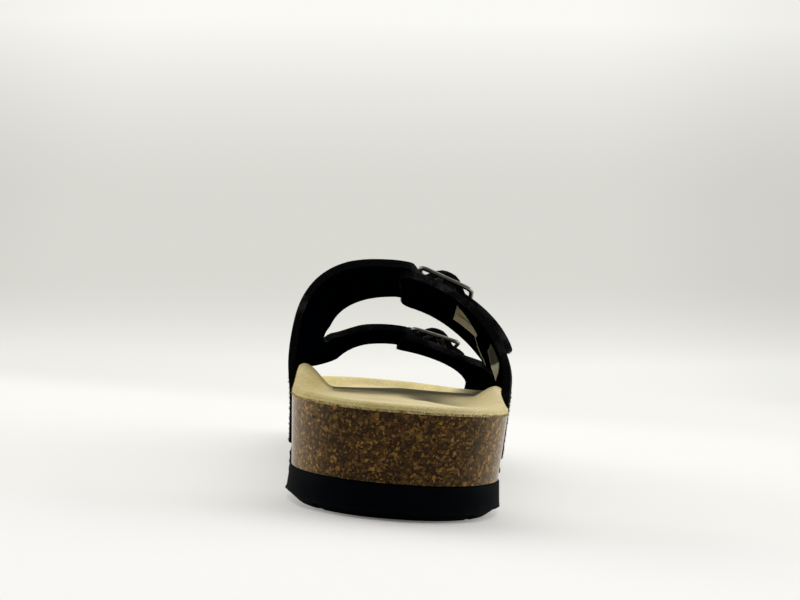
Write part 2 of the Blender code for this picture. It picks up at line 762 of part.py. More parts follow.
def make_prong(name):
    """The prong: hooked round the middle bar, up through the strap and out over the front bar."""
    spec = buckle(name)
    front, _, middle = bar_places(name)
    back, _, up = buckle_axes(name)
    reach = MIDDLE_RADIUS + GAP + PRONG_RADIUS
    hook = np.radians([170, 215, 260, 305, 345])
    points = [middle + reach * (back * math.cos(a) + up * math.sin(a)) for a in hook]
    middle_bar = spec["front_bar"] + BAR_SPACING / 2
    above = PRONG_RADIUS + STRAP_THICK + GAP
    for ahead_of_bar, clearance in ((3.8, -PRONG_RADIUS - GAP), (6.4, above)):
        distance = middle_bar - ahead_of_bar
        lift = strap_end_lift(distance, spec["front_bar"]) + clearance
        points.append(buckle_place(name, distance, lift))
    over = BAR_RADIUS + GAP + PRONG_RADIUS
    points.append(front + up * over)
    points.append(front + up * (over - 0.2) + back * 2.4)
    return tube("prong_" + name, points, PRONG_RADIUS, "buckle_metal")


def strap_hole_cutter():
    """Cutters for the prong's slot and the row of holes beyond it on both straps."""
    bm = bmesh.new()
    for name in ("rear", "front"):
        spec = buckle(name)
        slot = spec["front_bar"] + BAR_SPACING / 2 - 5.1
        last_hole = spec["tip"] - HOLE_TO_TIP
        for step, distance in enumerate(np.arange(slot, last_hole, HOLE_PITCH)):
            lift = strap_end_lift(distance, spec["front_bar"])
            low = buckle_place(name, distance, lift - 1.5)
            high = buckle_place(name, distance, lift + STRAP_THICK + 1.5)
            made = bmesh.ops.create_cone(
                bm, cap_ends=True, segments=HOLE_SIDES, radius1=HOLE_RADIUS, radius2=HOLE_RADIUS,
                depth=(high - low).length,
            )["verts"]
            if step == 0:
                bmesh.ops.scale(bm, vec=Vector((1.9, PRONG_SLOT_HALF / HOLE_RADIUS, 1)), verts=made)
            out = (high - low).normalized()
            along = ahead_of(name).cross(out).normalized()
            for vert in made:
                x, y, z = vert.co
                vert.co = (low + high) / 2 + along * x + out.cross(along) * y + out * z
    return add_cutter("strap_holes", bm)


def tab_path(name):
    """The tab's middle line: along the tongue, round the middle bar and back over itself."""
    bar = buckle(name)["front_bar"] + BAR_SPACING / 2
    wrap = MIDDLE_RADIUS + GAP + TAB_THICK / 2
    foot = STRAP_THICK + GAP + TAB_THICK / 2
    path = [(bar - reach, foot) for reach in (TAB_REACH, TAB_REACH * 0.75, TAB_REACH * 0.4)]
    for turn in np.radians([-90, -55, -20, 20, 55, 90, 122]):
        path.append((bar + wrap * math.cos(turn), MIDDLE_LIFT + wrap * math.sin(turn)))
    path.append((bar - TAB_RETURN, MIDDLE_LIFT - 0.1))
    return path


def make_tab(name):
    """The narrow tab that holds the buckle, slit round the middle bar for the prong."""
    slot = PRONG_RADIUS + GAP
    columns = (-TAB_HALF, -slot, slot, TAB_HALF)
    bm = bmesh.new()
    rows = []
    for distance, lift in tab_path(name):
        rows.append([bm.verts.new(buckle_place(name, distance, lift, side)) for side in columns])
    for j, (low, high) in enumerate(zip(rows, rows[1:])):
        for k in range(3):
            if k != 1 or j == 0:
                bm.faces.new((low[k], low[k + 1], high[k + 1], high[k]))
    bmesh.ops.recalc_face_normals(bm, faces=bm.faces)
    made = add_object("tab_" + name, bm, "strap_black")
    thick = made.modifiers.new("thickness", "SOLIDIFY")
    thick.thickness = TAB_THICK * MM
    thick.offset = 0.0
    return made


def clear_scene():
    for old in list(bpy.data.objects):
        bpy.data.objects.remove(old)


def add_collection(name):
    made = bpy.data.collections.new(name)
    bpy.context.scene.collection.children.link(made)
    return made


def centre_on_floor():
    """Moves the sandal so that the origin is in the middle of its box, at the floor."""
    bpy.context.view_layer.update()
    graph = bpy.context.evaluated_depsgraph_get()
    corners = []
    for part in PARTS.objects:
        shown = part.evaluated_get(graph)
        if shown.type != "EMPTY":
            corners += [shown.matrix_world @ Vector(corner) for corner in shown.bound_box]
    low = [min(c[i] for c in corners) for i in range(3)]
    high = [max(c[i] for c in corners) for i in range(3)]
    ROOT.location = (-(low[0] + high[0]) / 2, -(low[1] + high[1]) / 2, -low[2])


clear_scene()
PARTS = add_collection("sandal")
CUTTERS = add_collection("cutters")
ROOT = bpy.data.objects.new("sandal_origin", None)
PARTS.objects.link(ROOT)

make_outsole()
make_midsole()
make_insole()
make_upper_medial()
make_upper_lateral()
for strap in ("rear", "front"):
    make_frame(strap)
    make_prong(strap)
    make_tab(strap)
centre_on_floor()
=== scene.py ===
"""Looks of the two-strap footbed sandal: cork, suede, nubuck, foam and metal on a pale floor.

Sizes are in millimetres from the back of the heel, as in the part's source, and are moved to
the row frame when a mesh is made.
"""

import math
from functools import partial

import bmesh
import bpy
import numpy as np
from mathutils import Matrix, Vector


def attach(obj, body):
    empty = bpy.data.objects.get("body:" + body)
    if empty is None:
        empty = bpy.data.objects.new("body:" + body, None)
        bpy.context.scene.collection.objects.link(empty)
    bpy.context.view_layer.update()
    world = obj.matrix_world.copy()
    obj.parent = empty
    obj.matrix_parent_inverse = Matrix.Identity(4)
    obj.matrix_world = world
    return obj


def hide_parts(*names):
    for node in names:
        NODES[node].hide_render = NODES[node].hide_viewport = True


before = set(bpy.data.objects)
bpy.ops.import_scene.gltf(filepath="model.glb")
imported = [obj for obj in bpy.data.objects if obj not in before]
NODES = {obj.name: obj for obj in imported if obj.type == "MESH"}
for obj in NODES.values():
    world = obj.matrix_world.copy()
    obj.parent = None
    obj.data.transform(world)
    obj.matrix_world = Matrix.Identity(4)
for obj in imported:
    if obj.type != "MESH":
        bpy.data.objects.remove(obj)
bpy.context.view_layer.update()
RANDOM = np.random.default_rng(7)
MM = 0.001
OFFSET = np.array((-2.105, -132.0, 0.0))
WELD = 0.01

# Sole, as in the part's source
LENGTH = 264.0
HEEL_ROUND, HEEL_POWER = 37.0, 2.15
TOE_ROUND, TOE_POWER = 60.0, 2.3
SPRING_START, SPRING_RISE = 190.0, 6.5
STATIONS = 110
SOLE_COLUMNS = (
    "along", "centre", "half", "medial_rim", "lateral_rim", "bed", "arch", "outsole", "ledge",
)
SOLE_ROWS = (
    (0, 0.0, 36.0, 36.0, 36.0, 35.0, 0.0, 11.0, 0.5),
    (36, 0.0, 36.8, 37.4, 35.9, 34.5, 0.6, 11.0, 0.5),
    (70, 0.5, 38.4, 40.3, 37.6, 33.9, 0.4, 10.2, 0.8),
    (100, 1.3, 40.3, 42.4, 39.3, 33.2, -1.2, 9.3, 1.6),
    (130, 3.2, 43.4, 41.4, 38.0, 33.0, -0.8, 8.8, 2.4),
    (165, 3.3, 44.4, 36.8, 34.8, 31.6, -1.2, 8.4, 2.7),
    (195, 1.2, 43.6, 33.2, 32.8, 28.8, -0.4, 8.2, 3.3),
    (225, -5.0, 41.0, 31.4, 31.8, 26.6, 0.0, 8.2, 2.0),
    (264, -9.5, 38.5, 31.6, 31.6, 28.4, 0.0, 8.0, 0.8),
)
INSOLE_THICK = 1.4
RIM_WIDTH, RIM_ROUND = 2.2, 0.9
WALL_WIDTH, WALL_SPREAD = 8.0, 0.85
RING_INSETS = (0.0, 0.4, 1.1, 1.9, 2.6, 3.6, 4.9, 6.3, 7.8, 9.3, 11.0, 12.9, 15.0, 18.0, 22.0, 27.0)
TOE_BAR = dict(along=204.0, spread=7.0, height=1.3)
TOE_HOLLOW = dict(along=228.0, spread=10.0, height=-1.4)
BALL_PAD = dict(along=148.0, spread=20.0, across=3.0, reach=14.0, height=1.0)
HEEL_HOLLOW = dict(along=92.0, spread=30.0, across=15.0, reach=7.0, height=-3.4)
HOLLOW_LEAN = -0.21
CORK_TAPER = 1.7
OUTSOLE_FLARE, BEVEL_RISE, BEVEL_INSET = 0.6, 3.2, 4.0
GROOVE_WIDTH, GROOVE_DEPTH, GROOVE_PITCH = 2.4, 1.7, 11.0
GROOVE_FIRST, GROOVE_LAST = 14.0, 226.0
GAP, SIDE_GAP = 0.35, 0.55
FLASH_REACH = 0.9
CRUMB_SHARE, LINE_SHARE = 0.42, 0.52
EDGE_SLOT, LINE_SLOT = 1, 2

# Upper, as in the part's source
STRAP_THICK, SPRING_LINE = 3.0, 4.0
LAP = STRAP_THICK + GAP
LAST_COLUMNS = (
    "along", "crest_x", "crest_z", "medial_bulge", "lateral_bulge",
    "medial_power", "medial_lean", "lateral_power",
)
LAST_ROWS = (
    (92, -5.0, 84.7, 1.4, 0.0, 2.7, 0.00, 1.85),
    (106, -4.5, 81.0, 1.4, 0.0, 2.7, 0.00, 1.85),
    (147, -2.0, 70.2, 0.5, 0.1, 2.3, 0.11, 1.65),
    (178, 0.5, 55.1, 0.8, 0.4, 2.0, 0.26, 1.42),
    (216, 0.0, 48.2, 0.4, 0.4, 2.0, 0.36, 1.62),
    (232, 0.0, 46.6, 0.4, 0.4, 2.0, 0.36, 1.62),
)
SIDE_COLUMNS = ("rise", "rear_back", "rear_front", "front_back", "front_front")
MEDIAL_ROWS = (
    (0.00, 118.0, 160.0, 160.0, 202.0),
    (0.25, 115.0, 160.0, 160.0, 204.5),
    (0.575, 110.4, 161.0, 161.0, 209.8),
    (0.69, 108.4, 153.2, 171.6, 212.2),
    (0.84, 107.0, 149.5, 175.5, 214.5),
    (1.00, 106.0, 147.0, 178.0, 216.0),
)
LATERAL_ROWS = (
    (0.00, 115.0, 166.0, 166.0, 221.0),
    (0.25, 113.0, 166.0, 166.0, 220.0),
    (0.40, 111.0, 166.0, 166.0, 217.0),
    (0.60, 109.0, 156.5, 178.0, 212.0),
    (0.80, 107.5, 150.0, 178.5, 209.5),
    (1.00, 106.5, 147.5, 178.0, 208.5),
)
MEDIAL_FORK, LATERAL_FORK, FORK_ROUND = 0.575, 0.40, 0.07
FORK_STEPS = np.array([0.02, 0.08, 0.18, 0.32, 0.5, 0.72, 1.0])
STRAP_EDGES = dict(rear=(0, 1), front=(2, 3))
BUCKLE_COLUMNS = ("name", "middle", "tongue_end", "front_bar", "tip")
BUCKLE_ROWS = (
    ("rear", 131.5, 3.0, 9.5, 55.0),
    ("front", 197.0, 2.0, 7.0, 33.0),
)
TONGUE_CORNER = 4.5
STRAP_END_HALF, TAPER_BEFORE, TAPER_RUN = 13.0, 3.0, 4.5
FREE_LIFT = LAP + 0.1
BAR_SPACING = 21.0
MIDDLE_RADIUS, MIDDLE_CLEAR, TAB_THICK = 0.8, 2.0, 0.8
HUMP_LIFT = STRAP_THICK + MIDDLE_CLEAR + 2 * MIDDLE_RADIUS + 2 * GAP + TAB_THICK + 0.2
WINDOW_COLUMNS = ("distance", "near", "far")
WINDOW_ROWS = (
    (41.0, 139.0, 143.5),
    (28.0, 117.0, 141.0),
)
WINDOW_STEPS, WINDOW_MARGIN = 5, 2
SLOT_BEFORE_BAR, SLOT_STRETCH = 5.1, 1.9
PRONG_SLOT_HALF, HOLE_RADIUS, HOLE_PITCH, HOLE_TO_TIP = 1.9, 2.1, 8.5, 8.0
CUT_PAST = 1.5

# Grids of the last and the straps
SIDE_STEPS, ARCH_STEPS, TONGUE_STEPS = 10, 60, 14
STRAP_COLUMNS, STRAP_STEP, TIP_RUN, TIP_STEPS = 14, 1.2, 12.0, 15
BARE_AFTER = 8

# Material slots of a wall: each outer one is followed by its inner one and its rim
OUTER, FREE_END, BY_WINDOW = 0, 3, 6
INNER_STEP, RIM_STEP = 1, 2
RIMS = (OUTER + RIM_STEP, FREE_END + RIM_STEP)

# Patch inside the rear tongue with painted shade above and painted light below, and a pale streak:
# their edges as places along and heights
PATCH_UPPER = ((129.0, 56.2), (143.8, 53.1), (150.9, 49.6), (157.2, 45.9), (166.2, 39.4))
PATCH_LOWER = ((129.0, 55.6), (134.0, 51.0), (137.3, 48.4), (147.5, 44.7), (166.2, 39.2))
PATCH_LINE = dict(along=137.3, height=48.4, slope=0.125)
STREAK_UPPER = ((143.6, 58.3), (147.8, 56.0), (151.3, 54.1), (156.6, 50.1), (161.9, 46.1))
STREAK_LOWER = ((144.6, 58.1), (148.7, 55.8), (152.2, 53.9), (157.5, 49.9), (162.8, 45.9))
PATCH_LIFT = 0.2

# Fibres: spread of their lean, and the shortest one's share of the longest
FIBRE_LEAN, FIBRE_SHORTEST = 0.55, 0.35

# Stage: a paper sweep in metres, with a grey wall that glows at its foot and its top
SWEEP_START, SWEEP_RADIUS = 1.1, 0.5
WALL_TILT = 0.079
GLOW_FROM, GLOW_BEHIND = (0.10, 0.50), (-0.7, -1.3)
FILL_FROM, FILL_SHARE = (-0.15, -0.08), (0.0, 0.45)
WALL_GREY = (0.70, 0.693, 0.645)
FOOT_LIGHT, FOOT_GLOW = 0.23, dict(start=0.16, end=0.0, power=2.0)
TOP_LIGHT, TOP_GLOW = 0.26, dict(start=0.30, end=0.64, power=1.65)

# Dome: its light from the camera's side to the far side, and a ring along the horizon
DOME_SPAN, DOME_LIGHT = (-0.8, 0.2), (0.03, 0.8)
HORIZON_SPAN, HORIZON_LIGHT = (0.08, 0.22), (0.72, 0.0)

# Camera: place in heel millimetres, angles in degrees and focal length in picture pixels
CAMERA_PLACE = (-13.2, -341.0, 58.7)
CAMERA_YAW, CAMERA_PITCH, CAMERA_ROLL = 1.58, 1.57, 4.52
FOCAL_PIXELS, PICTURE_WIDTH, SENSOR_WIDTH = 1107.0, 800.0, 36.0


def column(columns, rows, name):
    """One named column of a table, as numbers."""
    return np.array([row[columns.index(name)] for row in rows], float)


def curve_through(places, values, at):
    """Smooth cubic through a table's values, held level past both of its ends."""
    slopes = np.gradient(values, places)
    at = np.clip(np.asarray(at, float), places[0], places[-1])
    i = np.clip(np.searchsorted(places, at) - 1, 0, len(places) - 2)
    span = places[i + 1] - places[i]
    t = (at - places[i]) / span
    rise = values[i + 1] - values[i]
    bend = (1 - t) * (slopes[i] * span - rise) - t * (slopes[i + 1] * span - rise)
    return values[i] + t * rise + t * (1 - t) * bend


def table(columns, rows):
    """A function that gives a named column of a table at a place in its first column."""
    def at(name, place):
        return curve_through(column(columns, rows, columns[0]), column(columns, rows, name), place)
    return at


sole = table(SOLE_COLUMNS, SOLE_ROWS)
last = table(LAST_COLUMNS, LAST_ROWS)


def ease(t):
    """Rises smoothly from 0 to 1 as t does."""
    t = np.clip(t, 0.0, 1.0)
    return t * t * (3 - 2 * t)


def bump(at, along, spread, height):
    """A round swelling along one direction."""
    return height * np.exp(-(((at - along) / spread) ** 2))


def mound(x, y, along, spread, across, reach, height, lean=0.0):
    """A round swelling or hollow whose middle leans across as it runs along."""
    return bump(y, along, spread, height) * bump(x, across + lean * (y - along), reach, 1.0)


def half_width(along):
    """Half the footbed's width, drawn in to a round heel and toe."""
    heel = np.clip(1 - along / HEEL_ROUND, 0, 1)
    toe = np.clip((along - LENGTH + TOE_ROUND) / TOE_ROUND, 0, 1)
    heel_round = (1 - heel**HEEL_POWER) ** (1 / HEEL_POWER)
    toe_round = (1 - toe**TOE_POWER) ** (1 / TOE_POWER)
    return sole("half", along) * heel_round * toe_round


def toe_spring(along):
    """How far the underside has lifted off the floor."""
    t = np.clip((along - SPRING_START) / (LENGTH - SPRING_START), 0, 1)
    return SPRING_RISE * t**2


def outsole_top(along):
    """Height of the outsole's upper face."""
    return toe_spring(along) + sole("outsole", along)


def side_edge(along, side, inset=0.0):
    """X of the footbed's edge: side is -1 for medial and 1 for lateral."""
    return sole("centre", along) + side * (half_width(along) - inset)


class Outline:
    """The footbed's edge seen from above: up its medial side, round the toe and back."""

    def __init__(self):
        angle = np.linspace(0, math.pi, STATIONS + 1)
        up = LENGTH * (1 - np.cos(angle)) / 2
        self.along = np.concatenate([up, up[-2:0:-1]])
        self.side = np.concatenate([-np.ones(STATIONS + 1), np.ones(STATIONS - 1)])
        self.edge = np.stack([side_edge(self.along, self.side), self.along], axis=1)
        spine_y = np.clip(self.along, HEEL_ROUND, LENGTH - TOE_ROUND * 0.75)
        self.spine = np.stack([sole("centre", spine_y), spine_y], axis=1)
        inward = self.spine - self.edge
        self.inward = inward / np.linalg.norm(inward, axis=1)[:, None]
        medial, lateral = sole("medial_rim", self.along), sole("lateral_rim", self.along)
        self.rim = np.where(self.side < 0, medial, lateral)

    def inset(self, distance):
        """The edge moved in by a distance; a negative one moves it out."""
        return self.edge + self.inward * np.reshape(distance, (-1, 1))


OUTLINE = Outline()


def bed_height(points, inset):
    """Top of the insole at points that lie a distance in from the edge."""
    x, y = points[:, 0], points[:, 1]
    across = (x - sole("centre", y)) / sole("half", y)
    floor = sole("bed", y) - sole("arch", y) * across
    middle = np.clip(1 - across**2, 0, 1)
    floor = floor + bump(y, **TOE_BAR) * middle + bump(y, **TOE_HOLLOW)
    floor = floor + mound(x, y, **BALL_PAD) + mound(x, y, **HEEL_HOLLOW, lean=HOLLOW_LEAN)
    wall = WALL_WIDTH + WALL_SPREAD * np.maximum(OUTLINE.rim - floor, 0)
    share = 1 - ease((inset - RIM_WIDTH) / (wall - RIM_WIDTH))
    rounding = RIM_ROUND * np.clip(1 - inset / RIM_WIDTH, 0, 1) ** 2
    return floor * (1 - share) + OUTLINE.rim * share - rounding


def bed_rings(drop=0.0):
    """Rings of points over the footbed's surface, from its edge in to its spine."""
    rings = []
    reach = np.linalg.norm(OUTLINE.spine - OUTLINE.edge, axis=1)
    for distance in RING_INSETS:
        flat = OUTLINE.inset(np.minimum(distance, reach * 0.97))
        rings.append(np.column_stack([flat, bed_height(flat, distance) - drop]))
    rings.append(np.column_stack([OUTLINE.spine, bed_height(OUTLINE.spine, reach) - drop]))
    return rings


def level_ring(inset, height):
    """A ring parallel to the outline at a height, or at a height for each point."""
    flat = OUTLINE.inset(inset)
    return np.column_stack([flat, np.broadcast_to(height, len(flat))])


def half_section(along, side):
    """The last's outline from the sole up to the crest on one side."""
    which = "medial" if side < 0 else "lateral"
    rim_z = float(sole(which + "_rim", along)) - INSOLE_THICK
    base_z = float(outsole_top(along)) + GAP
    rim_x = float(side_edge(along, side))
    base_x = float(side_edge(along, side, CORK_TAPER))
    spring_z = rim_z + SPRING_LINE
    z = np.linspace(base_z, spring_z, SIDE_STEPS)
    up = np.clip((z - base_z) / (rim_z - base_z), 0, 1)
    bulge = float(last(which + "_bulge", along))
    swell = bulge * ease((z - (base_z + rim_z) / 2) / (spring_z - (base_z + rim_z) / 2))
    x = base_x + (rim_x - base_x) * up + side * (SIDE_GAP + swell)
    power = float(last(which + "_power", along))
    lean = float(last("medial_lean", along)) if side < 0 else 0.0
    turn = np.linspace(0, math.pi / 2, ARCH_STEPS)[1:]
    crest_x, crest_z = float(last("crest_x", along)), float(last("crest_z", along))
    climb = np.sin(turn) ** (2 / power)
    reach = np.abs(np.cos(turn)) ** (2 / power) * (1 - lean * ease(climb / 0.5))
    arch_x = crest_x + (x[-1] - crest_x) * reach
    arch_z = spring_z + (crest_z - spring_z) * climb
    return np.column_stack([np.append(x, arch_x), np.append(z, arch_z)])


class Last:
    """The last under the straps as a grid: 0 at the sole to 1 at the crest, for each side."""

    STEPS = 160

    def __init__(self):
        self.along = np.arange(88.0, 238.0, 1.0)
        self.sides, self.runs = {}, {}
        for side in (-1, 1):
            rows, runs = [], []
            for y in self.along:
                points = half_section(y, side)
                step = np.linalg.norm(np.diff(points, axis=0), axis=1)
                run = np.concatenate([[0], np.cumsum(step)])
                at = np.linspace(0, run[-1], self.STEPS + 1)
                x, z = np.interp(at, run, points[:, 0]), np.interp(at, run, points[:, 1])
                rows.append(np.column_stack([x, np.full_like(x, y), z]))
                runs.append(run[-1])
            self.sides[side], self.runs[side] = np.array(rows), np.array(runs)

    def point(self, rise, along):
        """Points of the last: rise is 0 at the medial sole, 1 at the crest and 2 at the lateral."""
        rise, along = np.broadcast_arrays(np.asarray(rise, float), np.asarray(along, float))
        row = np.clip(along - self.along[0], 0, len(self.along) - 1.001)
        place = np.clip(np.where(rise <= 1, rise, 2 - rise), 0, 1) * self.STEPS * 0.99999
        i, j = row.astype(int), place.astype(int)
        u, v = (row - i)[..., None], (place - j)[..., None]
        found = []
        for side in (-1, 1):
            g = self.sides[side]
            near = g[i, j] * (1 - v) + g[i, j + 1] * v
            far = g[i + 1, j] * (1 - v) + g[i + 1, j + 1] * v
            found.append(near * (1 - u) + far * u)
        return np.where((rise <= 1)[..., None], *found)

    def frame(self, rise, along):
        """Directions on the last: towards the lateral sole, towards the toe and outwards."""
        rise, along = np.broadcast_arrays(np.asarray(rise, float), np.asarray(along, float))
        over = self.point(np.minimum(rise + 0.012, 2), along)
        over = over - self.point(np.maximum(rise - 0.012, 0), along)
        ahead = self.point(rise, along + 1.2) - self.point(rise, along - 1.2)
        out = np.cross(over, ahead)
        return [d / np.linalg.norm(d, axis=-1, keepdims=True) for d in (over, ahead, out)]

    def above(self, rise, along, lift):
        """Points a height above the last, square to it."""
        out = self.frame(rise, along)[2]
        return self.point(rise, along) + out * np.asarray(lift, float)[..., None]

    def rise_at(self, distance, along):
        """The rise of a point a distance past the crest, down the lateral side."""
        run = np.interp(along, self.along, self.runs[1])
        return 1 + np.asarray(distance, float) / run


LAST = Last()


def outline_of(rows, rise):
    """The four edges of a side piece's table at a rise."""
    edge = table(SIDE_COLUMNS, rows)
    return [float(edge(name, rise)) for name in SIDE_COLUMNS[1:]]


def forked_edges(rows, fork, rise):
    """The four edges of a side piece at a rise, its straps parting at the fork."""
    rear_back, rear_front, front_back, front_front = outline_of(rows, rise)
    middle = (rear_front + front_back) / 2
    t = np.clip((rise - fork) / FORK_ROUND, 0, 1)
    widest = outline_of(rows, fork + FORK_ROUND)
    full = max(front_back - rear_front, (widest[2] - widest[1]) * 0.9) / 2
    half_gap = full * math.sqrt(1 - (1 - t) ** 2)
    return rear_back, middle - half_gap, middle + half_gap, front_front


def buckle(name):
    """The row of the buckle table for the rear or the front strap."""
    row = next(row for row in BUCKLE_ROWS if row[0] == name)
    return dict(zip(BUCKLE_COLUMNS, row))


def drawn_in(distance, spec):
    """How far a strap has been drawn in to its buckle, from 0 at the crest to 1."""
    return float(ease((distance - spec["front_bar"] + TAPER_BEFORE) / TAPER_RUN))


def strap_end_half(distance, full_half, spec):
    """Half the strap's width past the crest: drawn in to the buckle, with a round tip."""
    half = full_half + (STRAP_END_HALF - full_half) * drawn_in(distance, spec)
    left = np.clip((spec["tip"] - distance) / STRAP_END_HALF, 0.002, 1)
    return half * math.sqrt(1 - (1 - left) ** 2)


def strap_end_lift(distance, front_bar):
    """Height of the strap above the last: under an end bar, over the middle one and under again."""
    middle = front_bar + BAR_SPACING / 2
    climb = 1 - ease((np.abs(distance - middle) - 1.0) / (BAR_SPACING / 2 - 3.0))
    rest = LAP + (FREE_LIFT - LAP) * ease((distance - middle) / 10.0)
    return rest + (HUMP_LIFT - rest) * climb


# Meshes and pieces


def link(name, data):
    """A new object in the scene."""
    made = bpy.data.objects.new(name, data)
    bpy.context.scene.collection.objects.link(made)
    return made


def row_mesh(name, bm):
    """A mesh in the row frame from a bmesh in heel millimetres, which is freed."""
    for vert in bm.verts:
        vert.co = (vert.co + Vector(OFFSET)) * MM
    mesh = bpy.data.meshes.new(name)
    bm.to_mesh(mesh)
    bm.free()
    return mesh


def add_piece(name, bm, materials, stands_for=()):
    """Turns a bmesh in heel millimetres into a piece of the sandal."""
    mesh = row_mesh(name, bm)
    for finish in materials:
        mesh.materials.append(finish)
    mesh.shade_smooth()
    made = link(name, mesh)
    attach(made, "root")
    if stands_for:
        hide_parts(*stands_for)
    return made


def skin(bm, rings, closed=True, finishes=None):
    """Quads between rings of points; finishes gives a row's material slot if not the first."""
    rows = [[bm.verts.new(point) for point in ring] for ring in rings]
    count = len(rows[0])
    for row, (low, high) in enumerate(zip(rows, rows[1:])):
        for k in range(count if closed else count - 1):
            n = (k + 1) % count
            face = bm.faces.new((low[k], low[n], high[n], high[k]))
            face.material_index = (finishes or {}).get(row, 0)


def clean(bm):
    """Welds points that meet and turns the faces outwards."""
    bmesh.ops.remove_doubles(bm, verts=bm.verts, dist=WELD)
    bmesh.ops.dissolve_degenerate(bm, edges=bm.edges, dist=WELD / 2)
    bmesh.ops.recalc_face_normals(bm, faces=bm.faces)


def baked(made):
    """The mesh of a piece with its modifiers carried out."""
    graph = bpy.context.evaluated_depsgraph_get()
    return bpy.data.meshes.new_from_object(made.evaluated_get(graph))


def carve(made, cutter, name):
    """Cuts a bmesh in heel millimetres out of a piece, and carries out its modifiers."""
    tool = link(name, row_mesh(name, cutter))
    cut = made.modifiers.new(name, "BOOLEAN")
    cut.operation = "DIFFERENCE"
    cut.solver = "EXACT"
    cut.object = tool
    made.modifiers.move(len(made.modifiers) - 1, min(1, len(made.modifiers) - 1))
    made.data = baked(made)
    made.modifiers.clear()
    bpy.data.objects.remove(tool)


def fuzz(name, piece, slots, per_mm2, reach, width, finish, below=1000.0):
    """Short fibres on the faces of a piece that have given slots and lie below a height."""
    mesh = baked(piece)
    faces = [
        face for face in mesh.polygons
        if face.material_index in slots and face.center.z < below * MM
    ]
    area = np.array([face.area for face in faces]) / MM**2
    count = RANDOM.poisson(area * per_mm2)
    bm = bmesh.new()
    for face, times in zip(faces, count):
        corners = [np.array(mesh.vertices[i].co) for i in face.vertices]
        for _ in range(times):
            share = RANDOM.dirichlet(np.ones(len(corners)))
            root = sum(part * corner for part, corner in zip(share, corners)) / MM - OFFSET
            lean = np.array(face.normal) + RANDOM.normal(0, FIBRE_LEAN, 3)
            length = reach * RANDOM.uniform(FIBRE_SHORTEST, 1.0)
            tip = root + lean / np.linalg.norm(lean) * length
            spike(bm, Vector(root), Vector(tip), width)
    bpy.data.meshes.remove(mesh)
    add_piece(name, bm, [finish])


def spike(bm, root, tip, width):
    """A thin three-sided point from a root to a tip."""
    ahead = (tip - root).normalized()
    side = ahead.orthogonal().normalized()
    across = ahead.cross(side)
    base = []
    for turn in (0.0, math.tau / 3, math.tau * 2 / 3):
        spoke = side * math.cos(turn) + across * math.sin(turn)
        base.append(bm.verts.new(root + spoke * (width / 2)))
    top = bm.verts.new(tip)
    bm.faces.new(base[::-1])
    for k in range(3):
        bm.faces.new((base[k], base[(k + 1) % 3], top))


# Materials


def smooth_range(tree, value, span, light):
    """A node that eases from one number to another as a value crosses a span."""
    made = tree.nodes.new("ShaderNodeMapRange")
    made.interpolation_type = "SMOOTHSTEP"
    for key, number in zip(("From Min", "From Max", "To Min", "To Max"), (*span, *light)):
        made.inputs[key].default_value = number
    tree.links.new(value, made.inputs["Value"])
    return made.outputs["Result"]


